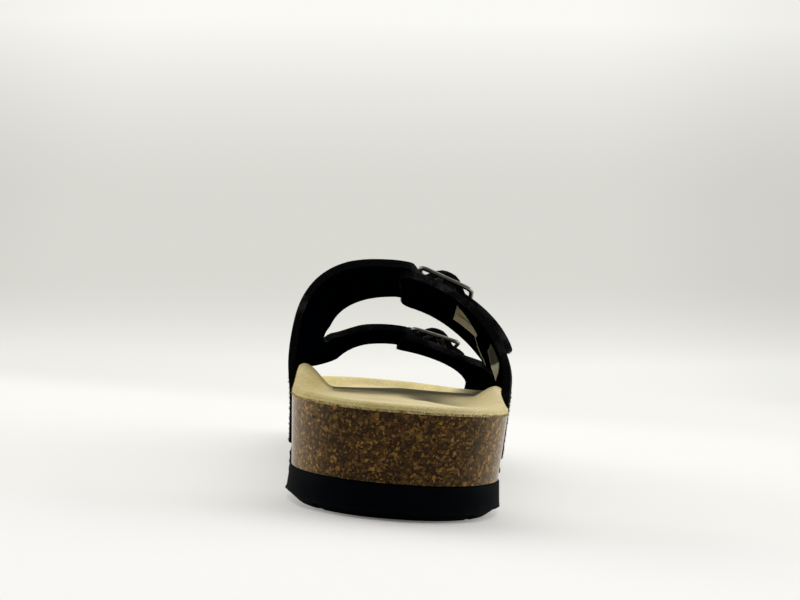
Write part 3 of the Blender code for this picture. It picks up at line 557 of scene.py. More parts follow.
class Finish:
    """A material built from nodes, with short ways to add and join them."""

    def __init__(self, name, roughness=0.5, metallic=0.0):
        self.material = bpy.data.materials.new(name)
        self.material.use_nodes = True
        self.tree = self.material.node_tree
        self.surface = self.tree.nodes["Principled BSDF"]
        self.surface.inputs["Roughness"].default_value = roughness
        self.surface.inputs["Metallic"].default_value = metallic
        self.place = self.node("ShaderNodeTexCoord").outputs["Object"]

    def node(self, kind, inputs=(), **settings):
        """A node with its settings, and its inputs fed by name or number."""
        made = self.tree.nodes.new(kind)
        for key, value in settings.items():
            setattr(made, key, value)
        for key, value in dict(inputs).items():
            self.feed(made.inputs[key], value)
        return made

    def feed(self, socket, value):
        """Gives a socket a value or another node's output."""
        if isinstance(value, bpy.types.NodeSocket):
            self.tree.links.new(value, socket)
        elif socket.type == "RGBA":
            socket.default_value = (*value, 1.0)
        else:
            socket.default_value = value

    def set(self, **values):
        """Feeds inputs of the surface."""
        for key, value in values.items():
            self.feed(self.surface.inputs[key.replace("_", " ")], value)

    def noise(self, scale, detail=3.0, roughness=0.55, output="Fac", place=None):
        inputs = dict(Vector=place or self.place, Scale=scale, Detail=detail, Roughness=roughness)
        return self.node("ShaderNodeTexNoise", inputs).outputs[output]

    def cells(self, scale, output="Color", feature="F1", place=None):
        inputs = dict(Vector=place or self.place, Scale=scale)
        return self.node("ShaderNodeTexVoronoi", inputs, feature=feature).outputs[output]

    def part(self, colour, channel):
        return self.node("ShaderNodeSeparateColor", dict(Color=colour)).outputs[channel]

    def ramp(self, value, stops):
        """A colour between stops, each a place and a colour."""
        made = self.node("ShaderNodeValToRGB", dict(Fac=value))
        while len(made.color_ramp.elements) < len(stops):
            made.color_ramp.elements.new(1.0)
        for element, (at, colour) in zip(made.color_ramp.elements, stops):
            element.position = at
            element.color = (*colour, 1.0)
        return made.outputs["Color"]

    def axes(self, vector):
        """The X, Y and Z parts of a vector."""
        return tuple(self.node("ShaderNodeSeparateXYZ", {0: vector}).outputs)

    def grey(self, value, low, high, to_low=0.0, to_high=1.0):
        """Eases from one number to another as a value goes from low to high."""
        return smooth_range(self.tree, value, (low, high), (to_low, to_high))

    def math(self, operation, a, b=0.5):
        return self.node("ShaderNodeMath", {0: a, 1: b}, operation=operation).outputs[0]

    def mix(self, factor, a, b, blend="MIX"):
        inputs = {0: factor, 6: a, 7: b}
        return self.node("ShaderNodeMix", inputs, data_type="RGBA", blend_type=blend).outputs[2]

    def vector(self, operation, a, b):
        inputs = {0: a, "Scale" if operation == "SCALE" else 1: b}
        return self.node("ShaderNodeVectorMath", inputs, operation=operation).outputs[0]

    def scaled(self, colour, factor):
        """A colour made lighter or darker by a factor."""
        return self.vector("SCALE", colour, factor)

    def warp(self, scale, amount):
        """The place moved about by noise, in metres."""
        centred = self.vector("SUBTRACT", self.noise(scale, 2.0, output="Color"), (0.5, 0.5, 0.5))
        return self.vector("ADD", self.place, self.scaled(centred, amount))

    def relief(self, height, distance, strength, under=None):
        """A bump on the surface, over another one where there is one."""
        inputs = dict(Height=height, Distance=distance, Strength=strength)
        made = self.node("ShaderNodeBump", inputs)
        if under is not None:
            self.feed(made.inputs["Normal"], under)
        self.feed(self.surface.inputs["Normal"], made.outputs["Normal"])
        return made.outputs["Normal"]


def cork_finish():
    """Pressed cork: a close mosaic of brown and ochre granules under a clear sealer."""
    f = Finish("cork_sealed", 0.7)
    place = f.vector("MULTIPLY", f.warp(520, 0.0010), (1.0, 1.0, 1.15))
    granule, crumb, flake = 1000, 1500, 420
    granules = f.cells(granule, place=place)
    crumbs = f.cells(crumb, place=place)
    large = f.cells(flake, place=place)
    ochres = f.ramp(f.part(granules, "Red"), (
        (0.00, (0.0110, 0.0046, 0.0010)),
        (0.28, (0.0250, 0.0112, 0.0022)),
        (0.55, (0.0500, 0.0240, 0.0046)),
        (0.80, (0.0960, 0.0490, 0.0096)),
        (1.00, (0.1950, 0.1060, 0.0220)),
    ))
    browns = f.ramp(f.part(crumbs, "Green"), (
        (0.00, (0.0090, 0.0034, 0.0008)),
        (0.40, (0.0220, 0.0090, 0.0018)),
        (0.80, (0.0560, 0.0262, 0.0050)),
        (1.00, (0.1750, 0.0930, 0.0190)),
    ))
    colour = f.mix(f.grey(f.part(granules, "Blue"), 0.35, 0.60), browns, ochres)
    flakes = f.ramp(f.part(large, "Red"), (
        (0.0, (0.190, 0.098, 0.0210)),
        (0.6, (0.125, 0.070, 0.0180)),
        (1.0, (0.014, 0.007, 0.0022)),
    ))
    chosen = f.math("LESS_THAN", f.part(large, "Green"), 0.10)
    core = f.grey(f.cells(flake, "Distance", place=place), 0.55, 0.25)
    colour = f.mix(f.math("MULTIPLY", chosen, core), colour, flakes)
    broad = f.grey(f.noise(75, 3.0), 0.30, 0.70, 0.74, 1.34)
    mottle = f.math("MULTIPLY", broad, f.grey(f.noise(1900, 3.0, 0.7), 0.3, 0.7, 0.65, 1.35))
    # Pits: small holes, given a dent in the relief and painted near-black for the shade inside them
    pits = f.grey(f.noise(430, 2.0, place=place), 0.27, 0.33)
    # Painted sheen: where the surface faces across, the granules are lighter and a pale tint is
    # mixed in, for the sealer's reflection at the sides
    facing = f.axes(f.node("ShaderNodeTexCoord").outputs["Normal"])[0]
    rub_and_painted_light = f.grey(f.math("ABSOLUTE", facing), 0.50, 1.0)
    mottle = f.math("MULTIPLY", mottle, f.grey(rub_and_painted_light, 0.0, 1.0, 1.0, 1.6))
    pale = (0.360, 0.300, 0.205)
    colour = f.mix(f.math("MULTIPLY", rub_and_painted_light, 0.12), f.scaled(colour, mottle), pale)
    f.set(Base_Color=f.mix(pits, (0.003, 0.0015, 0.0008), colour))
    f.set(Specular_IOR_Level=0.0, Coat_Weight=1.0, Coat_Roughness=0.16, Coat_IOR=1.135)
    f.set(Sheen_Weight=0.2, Sheen_Roughness=0.5, Sheen_Tint=(1.0, 0.84, 0.58))
    seams = f.grey(f.cells(granule, "Distance", "DISTANCE_TO_EDGE", place=place), 0.0, 0.14)
    f.relief(f.math("ADD", seams, f.math("MULTIPLY", pits, 2.0)), 0.00008, 0.45)
    return f.material


def suede_tone(f):
    """The cream of the insole: ochre drifts, a fine grain and flecks on its high medial edge."""
    drift = f.ramp(f.noise(30, 5.0, 0.62), (
        (0.28, (0.430, 0.325, 0.110)),
        (0.46, (0.575, 0.475, 0.205)),
        (0.72, (0.690, 0.580, 0.305)),
    ))
    grain = f.grey(f.noise(1500, 4.0, 0.7), 0.28, 0.74, 0.74, 1.14)
    across, along, height = millimetres(f)
    # The tone is multiplied by painted shade under the ball and in the side hollow, and by painted
    # light at the toe
    clean_tone = f.scaled(f.scaled(drift, grain), painted_bed_shading(f, across, along, height))
    handled = f.math("MULTIPLY", f.grey(across, -16.0, -34.0), f.grey(height, 33.5, 37.0))
    handled = f.math("MULTIPLY", handled, f.grey(f.noise(420, 4.0, 0.7), 0.30, 0.62, 0.45, 1.0))
    flecks = f.grey(f.noise(1300, 3.0, 0.7), 0.38, 0.47, 0.52, 1.0)
    soiled = f.scaled(f.mix(1.0, clean_tone, (0.75, 0.69, 0.43), "MULTIPLY"), flecks)
    return f.mix(handled, clean_tone, soiled)


def millimetres(f):
    """Places across, along and above, in the part's own millimetres."""
    return [
        f.math("SUBTRACT", f.math("MULTIPLY", part, 1 / MM), shift)
        for part, shift in zip(f.axes(f.place), OFFSET)
    ]


def painted_bed_shading(f, across, along, height):
    """Painted shade and light on the bed: darker under the ball, where the straps shade it, and in
    the side hollow, lighter at the toe.
    """
    ball = f.math("MULTIPLY", f.grey(along, 112.0, 132.0), f.grey(along, 195.0, 175.0))
    ball = f.math("MULTIPLY", ball, f.grey(height, 38.5, 34.5))
    lean = f.math("MULTIPLY", f.math("SUBTRACT", along, HEEL_HOLLOW["along"]), -HOLLOW_LEAN)
    beside = f.math("SUBTRACT", f.math("ADD", across, lean), HEEL_HOLLOW["across"])
    length = f.math("MULTIPLY", f.grey(along, 45.0, 92.0), f.grey(along, 140.0, 100.0))
    hollow = f.math("MULTIPLY", f.grey(f.math("ABSOLUTE", beside), 11.0, 0.0), length)
    under_ball, in_hollow = f.grey(ball, 0.0, 1.0, 1.0, 0.26), f.grey(hollow, 0.0, 1.0, 1.0, 0.50)
    rub_and_painted_light = f.math("MULTIPLY", under_ball, in_hollow)
    return f.math("MULTIPLY", rub_and_painted_light, f.grey(along, 188.0, 205.0, 1.0, 1.18))


def suede_finish():
    """Cream suede: soft drifts of colour, a fine nap and faint brown specks."""
    f = Finish("suede_napped", 0.95)
    specks = f.grey(f.noise(640, 2.0), 0.24, 0.31)
    f.set(Base_Color=f.mix(specks, (0.20, 0.135, 0.055), suede_tone(f)))
    f.set(Sheen_Weight=0.2, Sheen_Roughness=0.5, Specular_IOR_Level=0.05)
    under = f.relief(f.noise(210, 4.0, 0.6), 0.0005, 0.3)
    f.relief(f.noise(2600, 3.0, 0.65), 0.00012, 0.5, under)
    return f.material


def suede_edge_finish():
    """The insole's cut edge, where cork crumbs cling to the fibres."""
    f = Finish("suede_cut_edge", 0.95)
    crumbs = f.grey(f.noise(1300, 4.0, 0.7), 0.36, 0.66)
    tone = f.mix(crumbs, (0.120, 0.070, 0.022), suede_tone(f))
    f.set(Base_Color=tone, Specular_IOR_Level=0.05)
    f.relief(crumbs, 0.0003, 0.5)
    return f.material


def suede_line_finish():
    """The line of small dark gaps just inside the insole's edge."""
    f = Finish("suede_edge_line", 0.95)
    gaps = f.grey(f.noise(520, 3.0), 0.40, 0.52)
    tone = f.mix(gaps, (0.14, 0.085, 0.032), suede_tone(f))
    f.set(Base_Color=tone, Specular_IOR_Level=0.05)
    return f.material


def nubuck_finish(name, dark, light, nap_scale, relief, gloss=0.06, stops=(0.30, 0.72)):
    """Brushed leather: near-black with a fine nap and lighter rubbed patches."""
    f = Finish(name, 0.9)
    rub_and_painted_light = f.grey(f.noise(60, 4.0), 0.42, 0.72)
    nap = f.noise(nap_scale, 3.0, 0.7)
    blend = f.math("ADD", f.math("MULTIPLY", nap, 0.7), f.math("MULTIPLY", rub_and_painted_light, 0.3))
    tone = f.ramp(blend, ((stops[0], dark), (stops[1], light)))
    f.set(Base_Color=tone, Specular_IOR_Level=gloss)
    f.relief(nap, relief, 0.6)
    return f.material


def painted_light_patch_finish():
    """The lining's patch: dark at its top as painted shade, and pale below a ragged line as painted
    light from outside showing through.
    """
    f = Finish("lining_painted_light", 0.9)
    _, along, up = f.axes(f.place)
    height = f.math("ADD", up, f.math("MULTIPLY", along, PATCH_LINE["slope"]))
    line = (PATCH_LINE["height"] + PATCH_LINE["slope"] * (PATCH_LINE["along"] + OFFSET[1])) * MM
    ragged = f.math("ADD", height, f.math("MULTIPLY", f.noise(700, 3.0), 0.0008))
    lit_below_line = f.grey(ragged, line + 0.0009, line - 0.0001)
    dark = f.ramp(f.noise(900, 4.0, 0.7), (
        (0.3, (0.035, 0.034, 0.022)),
        (0.7, (0.130, 0.125, 0.085)),
    ))
    pale = f.ramp(f.noise(500, 4.0, 0.7), (
        (0.3, (0.660, 0.600, 0.380)),
        (0.7, (0.860, 0.830, 0.700)),
    ))
    f.set(Base_Color=f.mix(lit_below_line, dark, pale), Specular_IOR_Level=0.05)
    f.relief(f.noise(1500, 3.0), 0.0001, 0.4)
    return f.material


def foam_finish():
    """Moulded foam rubber with a fine pebble and a faint skin sheen."""
    f = Finish("foam_black", 0.75)
    grain = f.noise(1500, 3.0, 0.6)
    tone = f.ramp(f.noise(120, 4.0), (
        (0.3, (0.0005, 0.0009, 0.0017)),
        (0.7, (0.0013, 0.0017, 0.0027)),
    ))
    f.set(Base_Color=tone, Specular_IOR_Level=0.015)
    f.relief(grain, 0.0002, 0.4)
    return f.material


def metal_finish():
    """Dull plated buckle metal, rubbed in patches."""
    f = Finish("metal_plated", 0.36, 1.0)
    tone = f.ramp(f.noise(160, 3.0), (
        (0.35, (0.100, 0.097, 0.083)),
        (0.65, (0.165, 0.158, 0.132)),
    ))
    f.set(Base_Color=tone)
    f.set(Roughness=f.grey(f.noise(500, 2.0), 0.3, 0.7, 0.30, 0.42))
    return f.material


CORK = cork_finish()
SUEDE = suede_finish()
SUEDE_EDGE = suede_edge_finish()
SUEDE_LINE = suede_line_finish()
FOAM = foam_finish()
METAL = metal_finish()
NUBUCK = nubuck_finish(
    "nubuck_black", (0.0014, 0.0015, 0.0019), (0.0120, 0.0124, 0.0138), 2200, 0.0002
)
LINING = nubuck_finish(
    "lining_black", (0.0002, 0.0006, 0.0018), (0.0006, 0.0012, 0.0030), 1600, 0.0001, gloss=0.0
)
CUT_EDGE = nubuck_finish(
    "cut_edge", (0.0018, 0.0019, 0.0026), (0.0390, 0.0405, 0.0450), 1900, 0.0003, stops=(0.40, 0.66)
)
FIBRE = nubuck_finish("edge_fibre", (0.0040, 0.0042, 0.0048), (0.0300, 0.0300, 0.0320), 700, 0.0)
FLESH = nubuck_finish("flesh_side", (0.580, 0.535, 0.400), (0.760, 0.715, 0.575), 1500, 0.0002)
PAINTED_PATCH = painted_light_patch_finish()


# Sole


def make_insole():
    """The suede cover, closed, with its rounded rim and a cut edge down to the cork."""
    bm = bmesh.new()
    under, over = bed_rings(drop=INSOLE_THICK + 0.9 * GAP), bed_rings()
    between = [under[0] * (1 - t) + over[0] * t for t in (CRUMB_SHARE, LINE_SHARE)]
    edge = len(under) - 1
    skin(bm, under[::-1] + between + over, finishes={edge: EDGE_SLOT, edge + 1: LINE_SLOT})
    clean(bm)
    return add_piece("insole_suede", bm, [SUEDE, SUEDE_EDGE, SUEDE_LINE], ["insole"])


def make_midsole():
    """The cork footbed with its sealed side."""
    bm = bmesh.new()
    top = bed_rings(drop=INSOLE_THICK + GAP)
    base = outsole_top(OUTLINE.along) + GAP
    spine = np.column_stack([OUTLINE.spine, outsole_top(OUTLINE.spine[:, 1]) + GAP])
    side = [
        level_ring(CORK_TAPER * (1 - t), base * (1 - t) + top[0][:, 2] * t)
        for t in np.linspace(0, 1, 9)[:-1]
    ]
    skin(bm, [spine] + side + top)
    clean(bm)
    made = add_piece("midsole_cork", bm, [CORK], ["midsole"])
    made.data.set_sharp_from_angle(angle=math.radians(50))


def make_outsole():
    """The black outsole: a flared side, a moulding flash along its bevelled foot, and grooves."""
    ledge = sole("ledge", OUTLINE.along)
    top_inset = CORK_TAPER - ledge
    foot_inset = top_inset - OUTSOLE_FLARE
    spring, top = toe_spring(OUTLINE.along), outsole_top(OUTLINE.along)
    spine_y = OUTLINE.spine[:, 1]
    rings = [np.column_stack([OUTLINE.spine, toe_spring(spine_y)])]
    for t in (0.0, 0.08, 0.5, 0.95):
        rings.append(level_ring(foot_inset + BEVEL_INSET * (1 - t), spring + BEVEL_RISE * t))
    rough = RANDOM.random(len(spring) + 2) ** 3
    flash = FLASH_REACH * np.convolve(rough, (0.25, 0.5, 0.25), "valid")
    foot = spring + BEVEL_RISE
    rings.append(level_ring(foot_inset - flash, foot - flash / 2))
    for t in (0.03, 0.3, 0.65, 0.95):
        rings.append(level_ring(foot_inset + OUTSOLE_FLARE * t, foot + (top - foot) * t))
    rings.append(level_ring(top_inset + 0.3, top))
    rings.append(np.column_stack([OUTLINE.spine, outsole_top(spine_y)]))
    bm = bmesh.new()
    skin(bm, rings)
    clean(bm)
    made = add_piece("outsole_foam", bm, [FOAM], ["outsole"])
    carve(made, tread_bars(), "tread")
    made.data.set_sharp_from_angle(angle=math.radians(40))


def tread_bars():
    """Bars across the underside, one for each groove of the tread."""
    bm = bmesh.new()
    reach = 2 * sole("half", SPRING_START) + 30
    for along in np.arange(GROOVE_FIRST, GROOVE_LAST, GROOVE_PITCH):
        bar = bmesh.ops.create_cube(bm, size=1.0)["verts"]
        bmesh.ops.scale(bm, vec=Vector((reach, GROOVE_WIDTH, 2 * GROOVE_DEPTH)), verts=bar)
        slope = 2 * SPRING_RISE * max(along - SPRING_START, 0) / (LENGTH - SPRING_START) ** 2
        for vert in bar:
            vert.co += Vector((0, along, vert.co.y * slope + float(toe_spring(along))))
    return bm


# Upper


def strap_sheet(bm, rises, alongs, lifts, slot_of):
    """A grid of quads over the last; slot_of gives a quad's slot, or None where there is none."""
    points = LAST.above(rises, alongs, lifts)
    verts = [[bm.verts.new(point) for point in row] for row in points]
    for j, (low, high) in enumerate(zip(verts, verts[1:])):
        for k in range(len(low) - 1):
            slot = slot_of(j, k)
            if slot is not None:
                face = bm.faces.new((low[k], low[k + 1], high[k + 1], high[k]))
                face.material_index = slot


def medial_grid(name):
    """Rises, places along the shoe and lifts of the rows of one medial strap, sole to tip."""
    back, front = STRAP_EDGES[name]
    spec = buckle(name)
    fork = MEDIAL_FORK + FORK_ROUND * FORK_STEPS
    strap = np.linspace(fork[-1], 1.0, 36)[1:]
    side_rises = np.concatenate([np.linspace(0, MEDIAL_FORK, 26), fork, strap])
    rises, alongs, lifts = [], [], []
    for rise in side_rises:
        edges = forked_edges(MEDIAL_ROWS, MEDIAL_FORK, rise)
        along = np.linspace(edges[back], edges[front], STRAP_COLUMNS + 1)
        rises.append(np.full_like(along, rise))
        alongs.append(along)
        lifts.append(np.full_like(along, LAP * float(ease((rise - 0.45) / 0.4))))
    tip = spec["tip"] - TIP_RUN * np.linspace(1, 0, TIP_STEPS) ** 2
    ends = np.append(np.arange(STRAP_STEP, spec["tip"] - TIP_RUN, STRAP_STEP), tip)
    full = (edges[front] - edges[back]) / 2
    for distance in ends:
        shift = drawn_in(distance, spec)
        middle = (edges[back] + edges[front]) / 2 * (1 - shift) + spec["middle"] * shift
        half = strap_end_half(distance, full, spec)
        along = np.linspace(middle - half, middle + half, STRAP_COLUMNS + 1)
        rises.append(LAST.rise_at(distance, along))
        alongs.append(along)
        lifts.append(np.full_like(along, float(strap_end_lift(distance, spec["front_bar"]))))
    return np.array(rises), np.array(alongs), np.array(lifts), len(side_rises)


def lateral_rises(name, distances):
    """The rises, from the lateral sole, of distances past the crest at the middle of a strap."""
    return 2 - LAST.rise_at(np.asarray(distances, float), buckle(name)["middle"])


def lateral_grid(name):
    """Rises and places along the shoe of one tongue, sole to end, and the rows of its window."""
    back, front = STRAP_EDGES[name]
    end = buckle(name)["tongue_end"]
    corner = lateral_rises(name, end + TONGUE_CORNER * (1 - np.linspace(0, 1, 9) ** 0.5))
    window = lateral_rises(name, column(WINDOW_COLUMNS, WINDOW_ROWS, "distance"))
    near, far = (column(WINDOW_COLUMNS, WINDOW_ROWS, edge) for edge in ("near", "far"))
    fork = LATERAL_FORK + FORK_ROUND * FORK_STEPS
    tongue = np.linspace(fork[-1], corner[0], 40)[1:-1]
    side_rises = np.concatenate([np.linspace(0, LATERAL_FORK, 22), fork, tongue, window, corner])
    rises, alongs, inside = [], [], []
    for rise in np.unique(np.round(side_rises, 5)):
        edges = forked_edges(LATERAL_ROWS, LATERAL_FORK, rise)
        left = np.clip((corner[-1] - rise) / (corner[-1] - corner[0]), 0.0, 1.0)
        inset = TONGUE_CORNER * (1 - math.sqrt(1 - (1 - left) ** 2))
        low, high = edges[back] + inset, edges[front] - inset
        along = np.linspace(low, high, TONGUE_STEPS + 1)
        if name == "rear":
            places = low, np.interp(rise, window, near), np.interp(rise, window, far), high
            share = np.arange(3 * WINDOW_STEPS + 1) / WINDOW_STEPS
            along = np.interp(share, range(4), places)
        rises.append(np.full_like(along, 2 - rise))
        alongs.append(along)
        inside.append(name == "rear" and window[0] - 1e-4 <= rise <= window[1] + 1e-4)
    return np.array(rises), np.array(alongs), inside


def finish_wall(name, bm, node):
    """Welds a sheet, turns it outwards and gives it a wall with softened edges."""
    loose = [vert for vert in bm.verts if not vert.link_faces]
    bmesh.ops.delete(bm, geom=loose, context="VERTS")
    bmesh.ops.remove_doubles(bm, verts=bm.verts, dist=0.03)
    bmesh.ops.recalc_face_normals(bm, faces=bm.faces)
    if sum(face.normal.z * face.calc_area() for face in bm.faces) < 0:
        bmesh.ops.reverse_faces(bm, faces=bm.faces)
    finishes = [NUBUCK, LINING, CUT_EDGE, NUBUCK, FLESH, CUT_EDGE, NUBUCK, LINING, FLESH]
    made = add_piece(name, bm, finishes, [node])
    thick = made.modifiers.new("thickness", "SOLIDIFY")
    thick.thickness = STRAP_THICK * MM
    thick.offset = 1.0
    thick.material_offset = INNER_STEP
    thick.material_offset_rim = RIM_STEP
    soft = made.modifiers.new("soft_edge", "BEVEL")
    soft.width = 0.5 * MM
    soft.segments = 2
    soft.limit_method = "ANGLE"
    soft.angle_limit = math.radians(50)
    return made


def make_upper_medial():
    """The medial side piece: black inside to the crest and bare flesh side under the free ends."""
    bm = bmesh.new()
    for name in ("rear", "front"):
        rises, alongs, lifts, turned = medial_grid(name)
        bare = turned + BARE_AFTER
        strap_sheet(bm, rises, alongs, lifts, lambda j, k: FREE_END if j > bare else OUTER)
    made = finish_wall("upper_medial_nubuck", bm, "upper_medial")
    carve(made, strap_holes(), "strap_holes")
    return made


def strap_holes():
    """Cutters for the prong's slot and the row of holes beyond it on both straps."""
    bm = bmesh.new()
    for name in ("rear", "front"):
        spec = buckle(name)
        slot = spec["front_bar"] + BAR_SPACING / 2 - SLOT_BEFORE_BAR
        for step, distance in enumerate(np.arange(slot, spec["tip"] - HOLE_TO_TIP, HOLE_PITCH)):
            rise = LAST.rise_at(distance, spec["middle"])
            lift = float(strap_end_lift(distance, spec["front_bar"]))
            low, high = (
                Vector(LAST.above(rise, spec["middle"], lift + past))
                for past in (-CUT_PAST, STRAP_THICK + CUT_PAST)
            )
            made = bmesh.ops.create_cone(
                bm, cap_ends=True, segments=20, radius1=HOLE_RADIUS, radius2=HOLE_RADIUS,
                depth=(high - low).length,
            )["verts"]
            if step == 0:
                stretch = Vector((SLOT_STRETCH, PRONG_SLOT_HALF / HOLE_RADIUS, 1))
                bmesh.ops.scale(bm, vec=stretch, verts=made)
            out = (high - low).normalized()
            ahead = Vector(LAST.frame(rise, spec["middle"])[1])
            down = ahead.cross(out).normalized()
            for vert in made:
                x, y, z = vert.co
                vert.co = (low + high) / 2 + down * x + out.cross(down) * y + out * z
    for face in bm.faces:
        face.material_index = OUTER + RIM_STEP
    return bm


def tongue_slot(inside, j, k):
    """The slot of a tongue's quad: none in the window, and one of its own round it."""
    first, end = WINDOW_STEPS, 2 * WINDOW_STEPS
    if first <= k < end and inside[j] and inside[j + 1]:
        return None
    close = first - WINDOW_MARGIN <= k < end + WINDOW_MARGIN
    return BY_WINDOW if close and any(inside[max(j - 1, 0):j + 3]) else OUTER


def make_upper_lateral():
    """The lateral side piece with its two tongues and the window in the rear one."""
    bm = bmesh.new()
    for name in ("rear", "front"):
        rises, alongs, inside = lateral_grid(name)
        slot_of = partial(tongue_slot, inside)
        strap_sheet(bm, rises, alongs, np.zeros_like(rises), slot_of)
    made = finish_wall("upper_lateral_nubuck", bm, "upper_lateral")
    made.data = baked(made)
    made.modifiers.clear()
    return made


def make_patch(name, upper, lower, finish):
    """A thin sheet laid on the lining, inside the rear tongue, with its own finish."""
    bm = bmesh.new()
    share = np.linspace(0, 1, 25)
    edges = []
    for corners in (upper, lower):
        at = np.linspace(0, 1, len(corners))
        along, height = (curve_through(at, np.array(values), share) for values in zip(*corners))
        edges.append(np.column_stack([along, height]))
    rows = []
    for t in np.linspace(0, 1, 7):
        along, height = (edges[0] * (1 - t) + edges[1] * t).T
        row = []
        for y, z in zip(along, height):
            section = LAST.sides[1][int(round(y - LAST.along[0]))]
            rise = 2 - np.interp(z, section[:, 2], np.linspace(0, 1, len(section)))
            row.append(LAST.above(rise, y, -PATCH_LIFT))
        rows.append(row)
    skin(bm, rows, closed=False)
    clean(bm)
    made = add_piece(name, bm, [finish])
    thick = made.modifiers.new("thickness", "SOLIDIFY")
    thick.thickness = PATCH_LIFT * 0.7 * MM
    thick.offset = 0.0


# Stage, light and camera


def make_floor():
    """A pale sweep: a flat floor that curves up into a softly lit wall behind the shoe."""
    bm = bmesh.new()
    profile = [(-3.0, 0.0), (SWEEP_START, 0.0)]
    for turn in np.linspace(0, math.pi / 2, 25)[1:]:
        rise = SWEEP_RADIUS * (1 - math.cos(turn))
        profile.append((SWEEP_START + SWEEP_RADIUS * math.sin(turn), rise))
    profile.append((SWEEP_START + SWEEP_RADIUS, 4.0))
    rows = [[(x, y, z) for x in np.linspace(-4, 4, 9)] for y, z in profile]
    skin(bm, rows, closed=False)
    bmesh.ops.recalc_face_normals(bm, faces=bm.faces)
    mesh = bpy.data.meshes.new("floor")
    bm.to_mesh(mesh)
    bm.free()
    mesh.shade_smooth()
    mesh.materials.append(sweep_finish())
    floor = link("floor", mesh)


def bent_rise(f, value, start, end, power):
    """Goes from 0 at the start to 1 at the end, bent by a power."""
    made = f.node("ShaderNodeMapRange", {"Value": value, "From Min": start, "From Max": end})
    return f.math("POWER", made.outputs["Result"], power)


def sweep_finish():
    """White paper, with a glow on the wall that dips to grey half-way up the view."""
    f = Finish("paper_white", 0.9)
    across, along, up = f.axes(f.place)
    aside = f.math("ABSOLUTE", f.math("ADD", across, 0.06))
    # Painted shade: the paper is darker towards the sides, and the glow below dims there too
    f.set(Base_Color=f.scaled((0.84, 0.832, 0.816), f.grey(aside, 0.10, 0.55, 1.0, 0.85)))
    f.set(Specular_IOR_Level=0.0)
    level = f.math("SUBTRACT", up, f.math("MULTIPLY", across, WALL_TILT))
    foot = f.math("MULTIPLY", bent_rise(f, level, **FOOT_GLOW), FOOT_LIGHT)
    top = f.math("MULTIPLY", bent_rise(f, level, **TOP_GLOW), TOP_LIGHT)
    glow = f.mix(f.math("ADD", foot, top), WALL_GREY, (1.0, 1.0, 1.0), "ADD")
    glow = f.scaled(glow, f.grey(aside, 0.40, 0.85, 1.0, 0.90))
    lamp = f.node("ShaderNodeEmission", dict(Color=glow))
    near = f.grey(along, *FILL_FROM, *FILL_SHARE)
    far = f.math("MAXIMUM", f.grey(along, *GLOW_FROM), f.grey(along, *GLOW_BEHIND))
    share = f.math("MAXIMUM", near, far)
    inputs = {0: share, 1: f.surface.outputs[0], 2: lamp.outputs[0]}
    blend = f.node("ShaderNodeMixShader", inputs)
    f.feed(f.tree.nodes["Material Output"].inputs["Surface"], blend.outputs[0])
    return f.material


def area_light(name, place, aim, size, power):
    """A lamp in metres and watts that the camera doesn't see."""
    lamp = bpy.data.lights.new(name, "AREA")
    lamp.shape = "RECTANGLE"
    lamp.size, lamp.size_y = size
    lamp.energy = power
    made = link(name, lamp)
    made.visible_camera = False
    made.location = place
    made.rotation_euler = (Vector(aim) - Vector(place)).to_track_quat("-Z", "Y").to_euler()


def make_light():
    """A dome that is dark high on the camera's side, a lamp overhead and a box at each side."""
    world = bpy.data.worlds.new("studio")
    bpy.context.scene.world = world
    world.use_nodes = True
    tree = world.node_tree
    place = tree.nodes.new("ShaderNodeTexCoord")
    split = tree.nodes.new("ShaderNodeSeparateXYZ")
    tree.links.new(place.outputs["Generated"], split.inputs[0])
    brighter = tree.nodes.new("ShaderNodeMath")
    brighter.operation = "MAXIMUM"
    dome = smooth_range(tree, split.outputs["Y"], DOME_SPAN, DOME_LIGHT)
    horizon = smooth_range(tree, split.outputs["Z"], HORIZON_SPAN, HORIZON_LIGHT)
    tree.links.new(dome, brighter.inputs[0])
    tree.links.new(horizon, brighter.inputs[1])
    background = tree.nodes["Background"]
    background.inputs["Color"].default_value = (1.0, 0.99, 0.97, 1.0)
    tree.links.new(brighter.outputs[0], background.inputs["Strength"])
    area_light("overhead", (0.20, 0.35, 1.4), aim=(0.0, 0.1, 0.0), size=(3.0, 1.9), power=15.0)
    for side in (-1, 1):
        place = (1.5 * side, 0.5, 0.45)
        area_light("side_box", place, aim=(0.0, -0.05, 0.03), size=(1.6, 0.8), power=16.0)


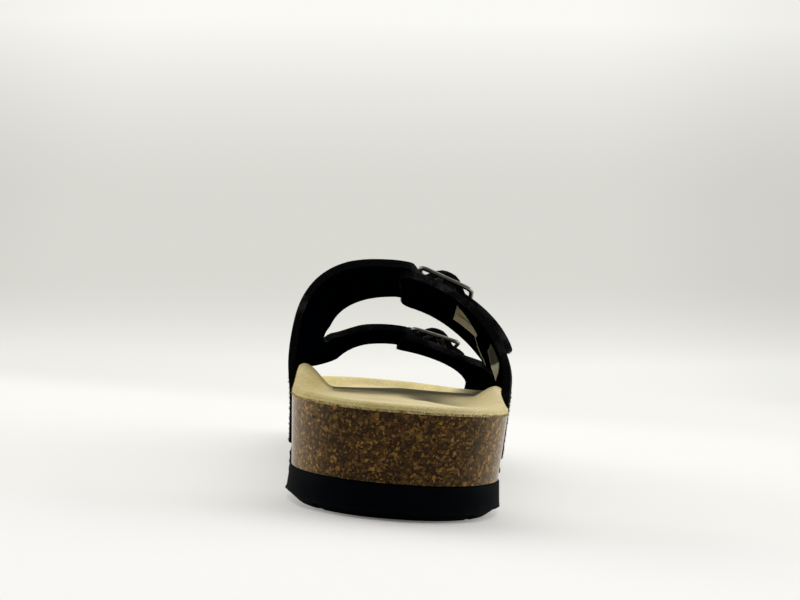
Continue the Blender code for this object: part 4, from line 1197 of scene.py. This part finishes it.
def make_camera():
    """The photograph's view: low behind the heel, slightly rolled."""
    camera = bpy.data.cameras.new("photo_view")
    camera.sensor_width = SENSOR_WIDTH
    camera.lens = SENSOR_WIDTH * FOCAL_PIXELS / PICTURE_WIDTH
    camera.clip_start = 0.01
    made = link("photo_view", camera)
    yaw, pitch, roll = (math.radians(a) for a in (CAMERA_YAW, CAMERA_PITCH, CAMERA_ROLL))
    turned = Matrix.Rotation(-yaw, 4, "Z") @ Matrix.Rotation(math.pi / 2 + pitch, 4, "X")
    turned = turned @ Matrix.Rotation(roll, 4, "Z")
    turned.translation = Vector((np.array(CAMERA_PLACE) + OFFSET) * MM)
    made.matrix_world = turned
    bpy.context.scene.camera = made


def dressed_copy(name, finish, smooth_angle):
    """A piece that stands for a CAD node in its own shape, welded so that it shades smoothly."""
    bm = bmesh.new()
    bm.from_mesh(NODES[name].data)
    bmesh.ops.remove_doubles(bm, verts=bm.verts, dist=0.00002)
    bmesh.ops.recalc_face_normals(bm, faces=bm.faces)
    for vert in bm.verts:
        vert.co = vert.co / MM - Vector(OFFSET)
    made = add_piece(name + "_finished", bm, [finish], [name])
    made.data.set_sharp_from_angle(angle=math.radians(smooth_angle))


for strap in ("rear", "front"):
    dressed_copy("buckle_" + strap, METAL, 60)
    dressed_copy("prong_" + strap, METAL, 60)
    dressed_copy("tab_" + strap, LINING, 40)
insole = make_insole()
make_midsole()
make_outsole()
uppers = (make_upper_medial(), make_upper_lateral())
make_patch("lining_patch", PATCH_UPPER, PATCH_LOWER, PAINTED_PATCH)
make_patch("lining_streak", STREAK_UPPER, STREAK_LOWER, FLESH)
fuzz("insole_fibres", insole, (EDGE_SLOT,), 1.4, 0.9, 0.16, SUEDE)
for upper, side in zip(uppers, ("medial", "lateral")):
    fuzz("fibres_" + side, upper, RIMS, 2.4, 1.2, 0.18, FIBRE)
    fuzz("nap_" + side, upper, (OUTER,), 1.0, 0.8, 0.22, FIBRE, below=36.0)
make_floor()
make_light()
make_camera()
bpy.context.scene.view_settings.view_transform = "Standard"
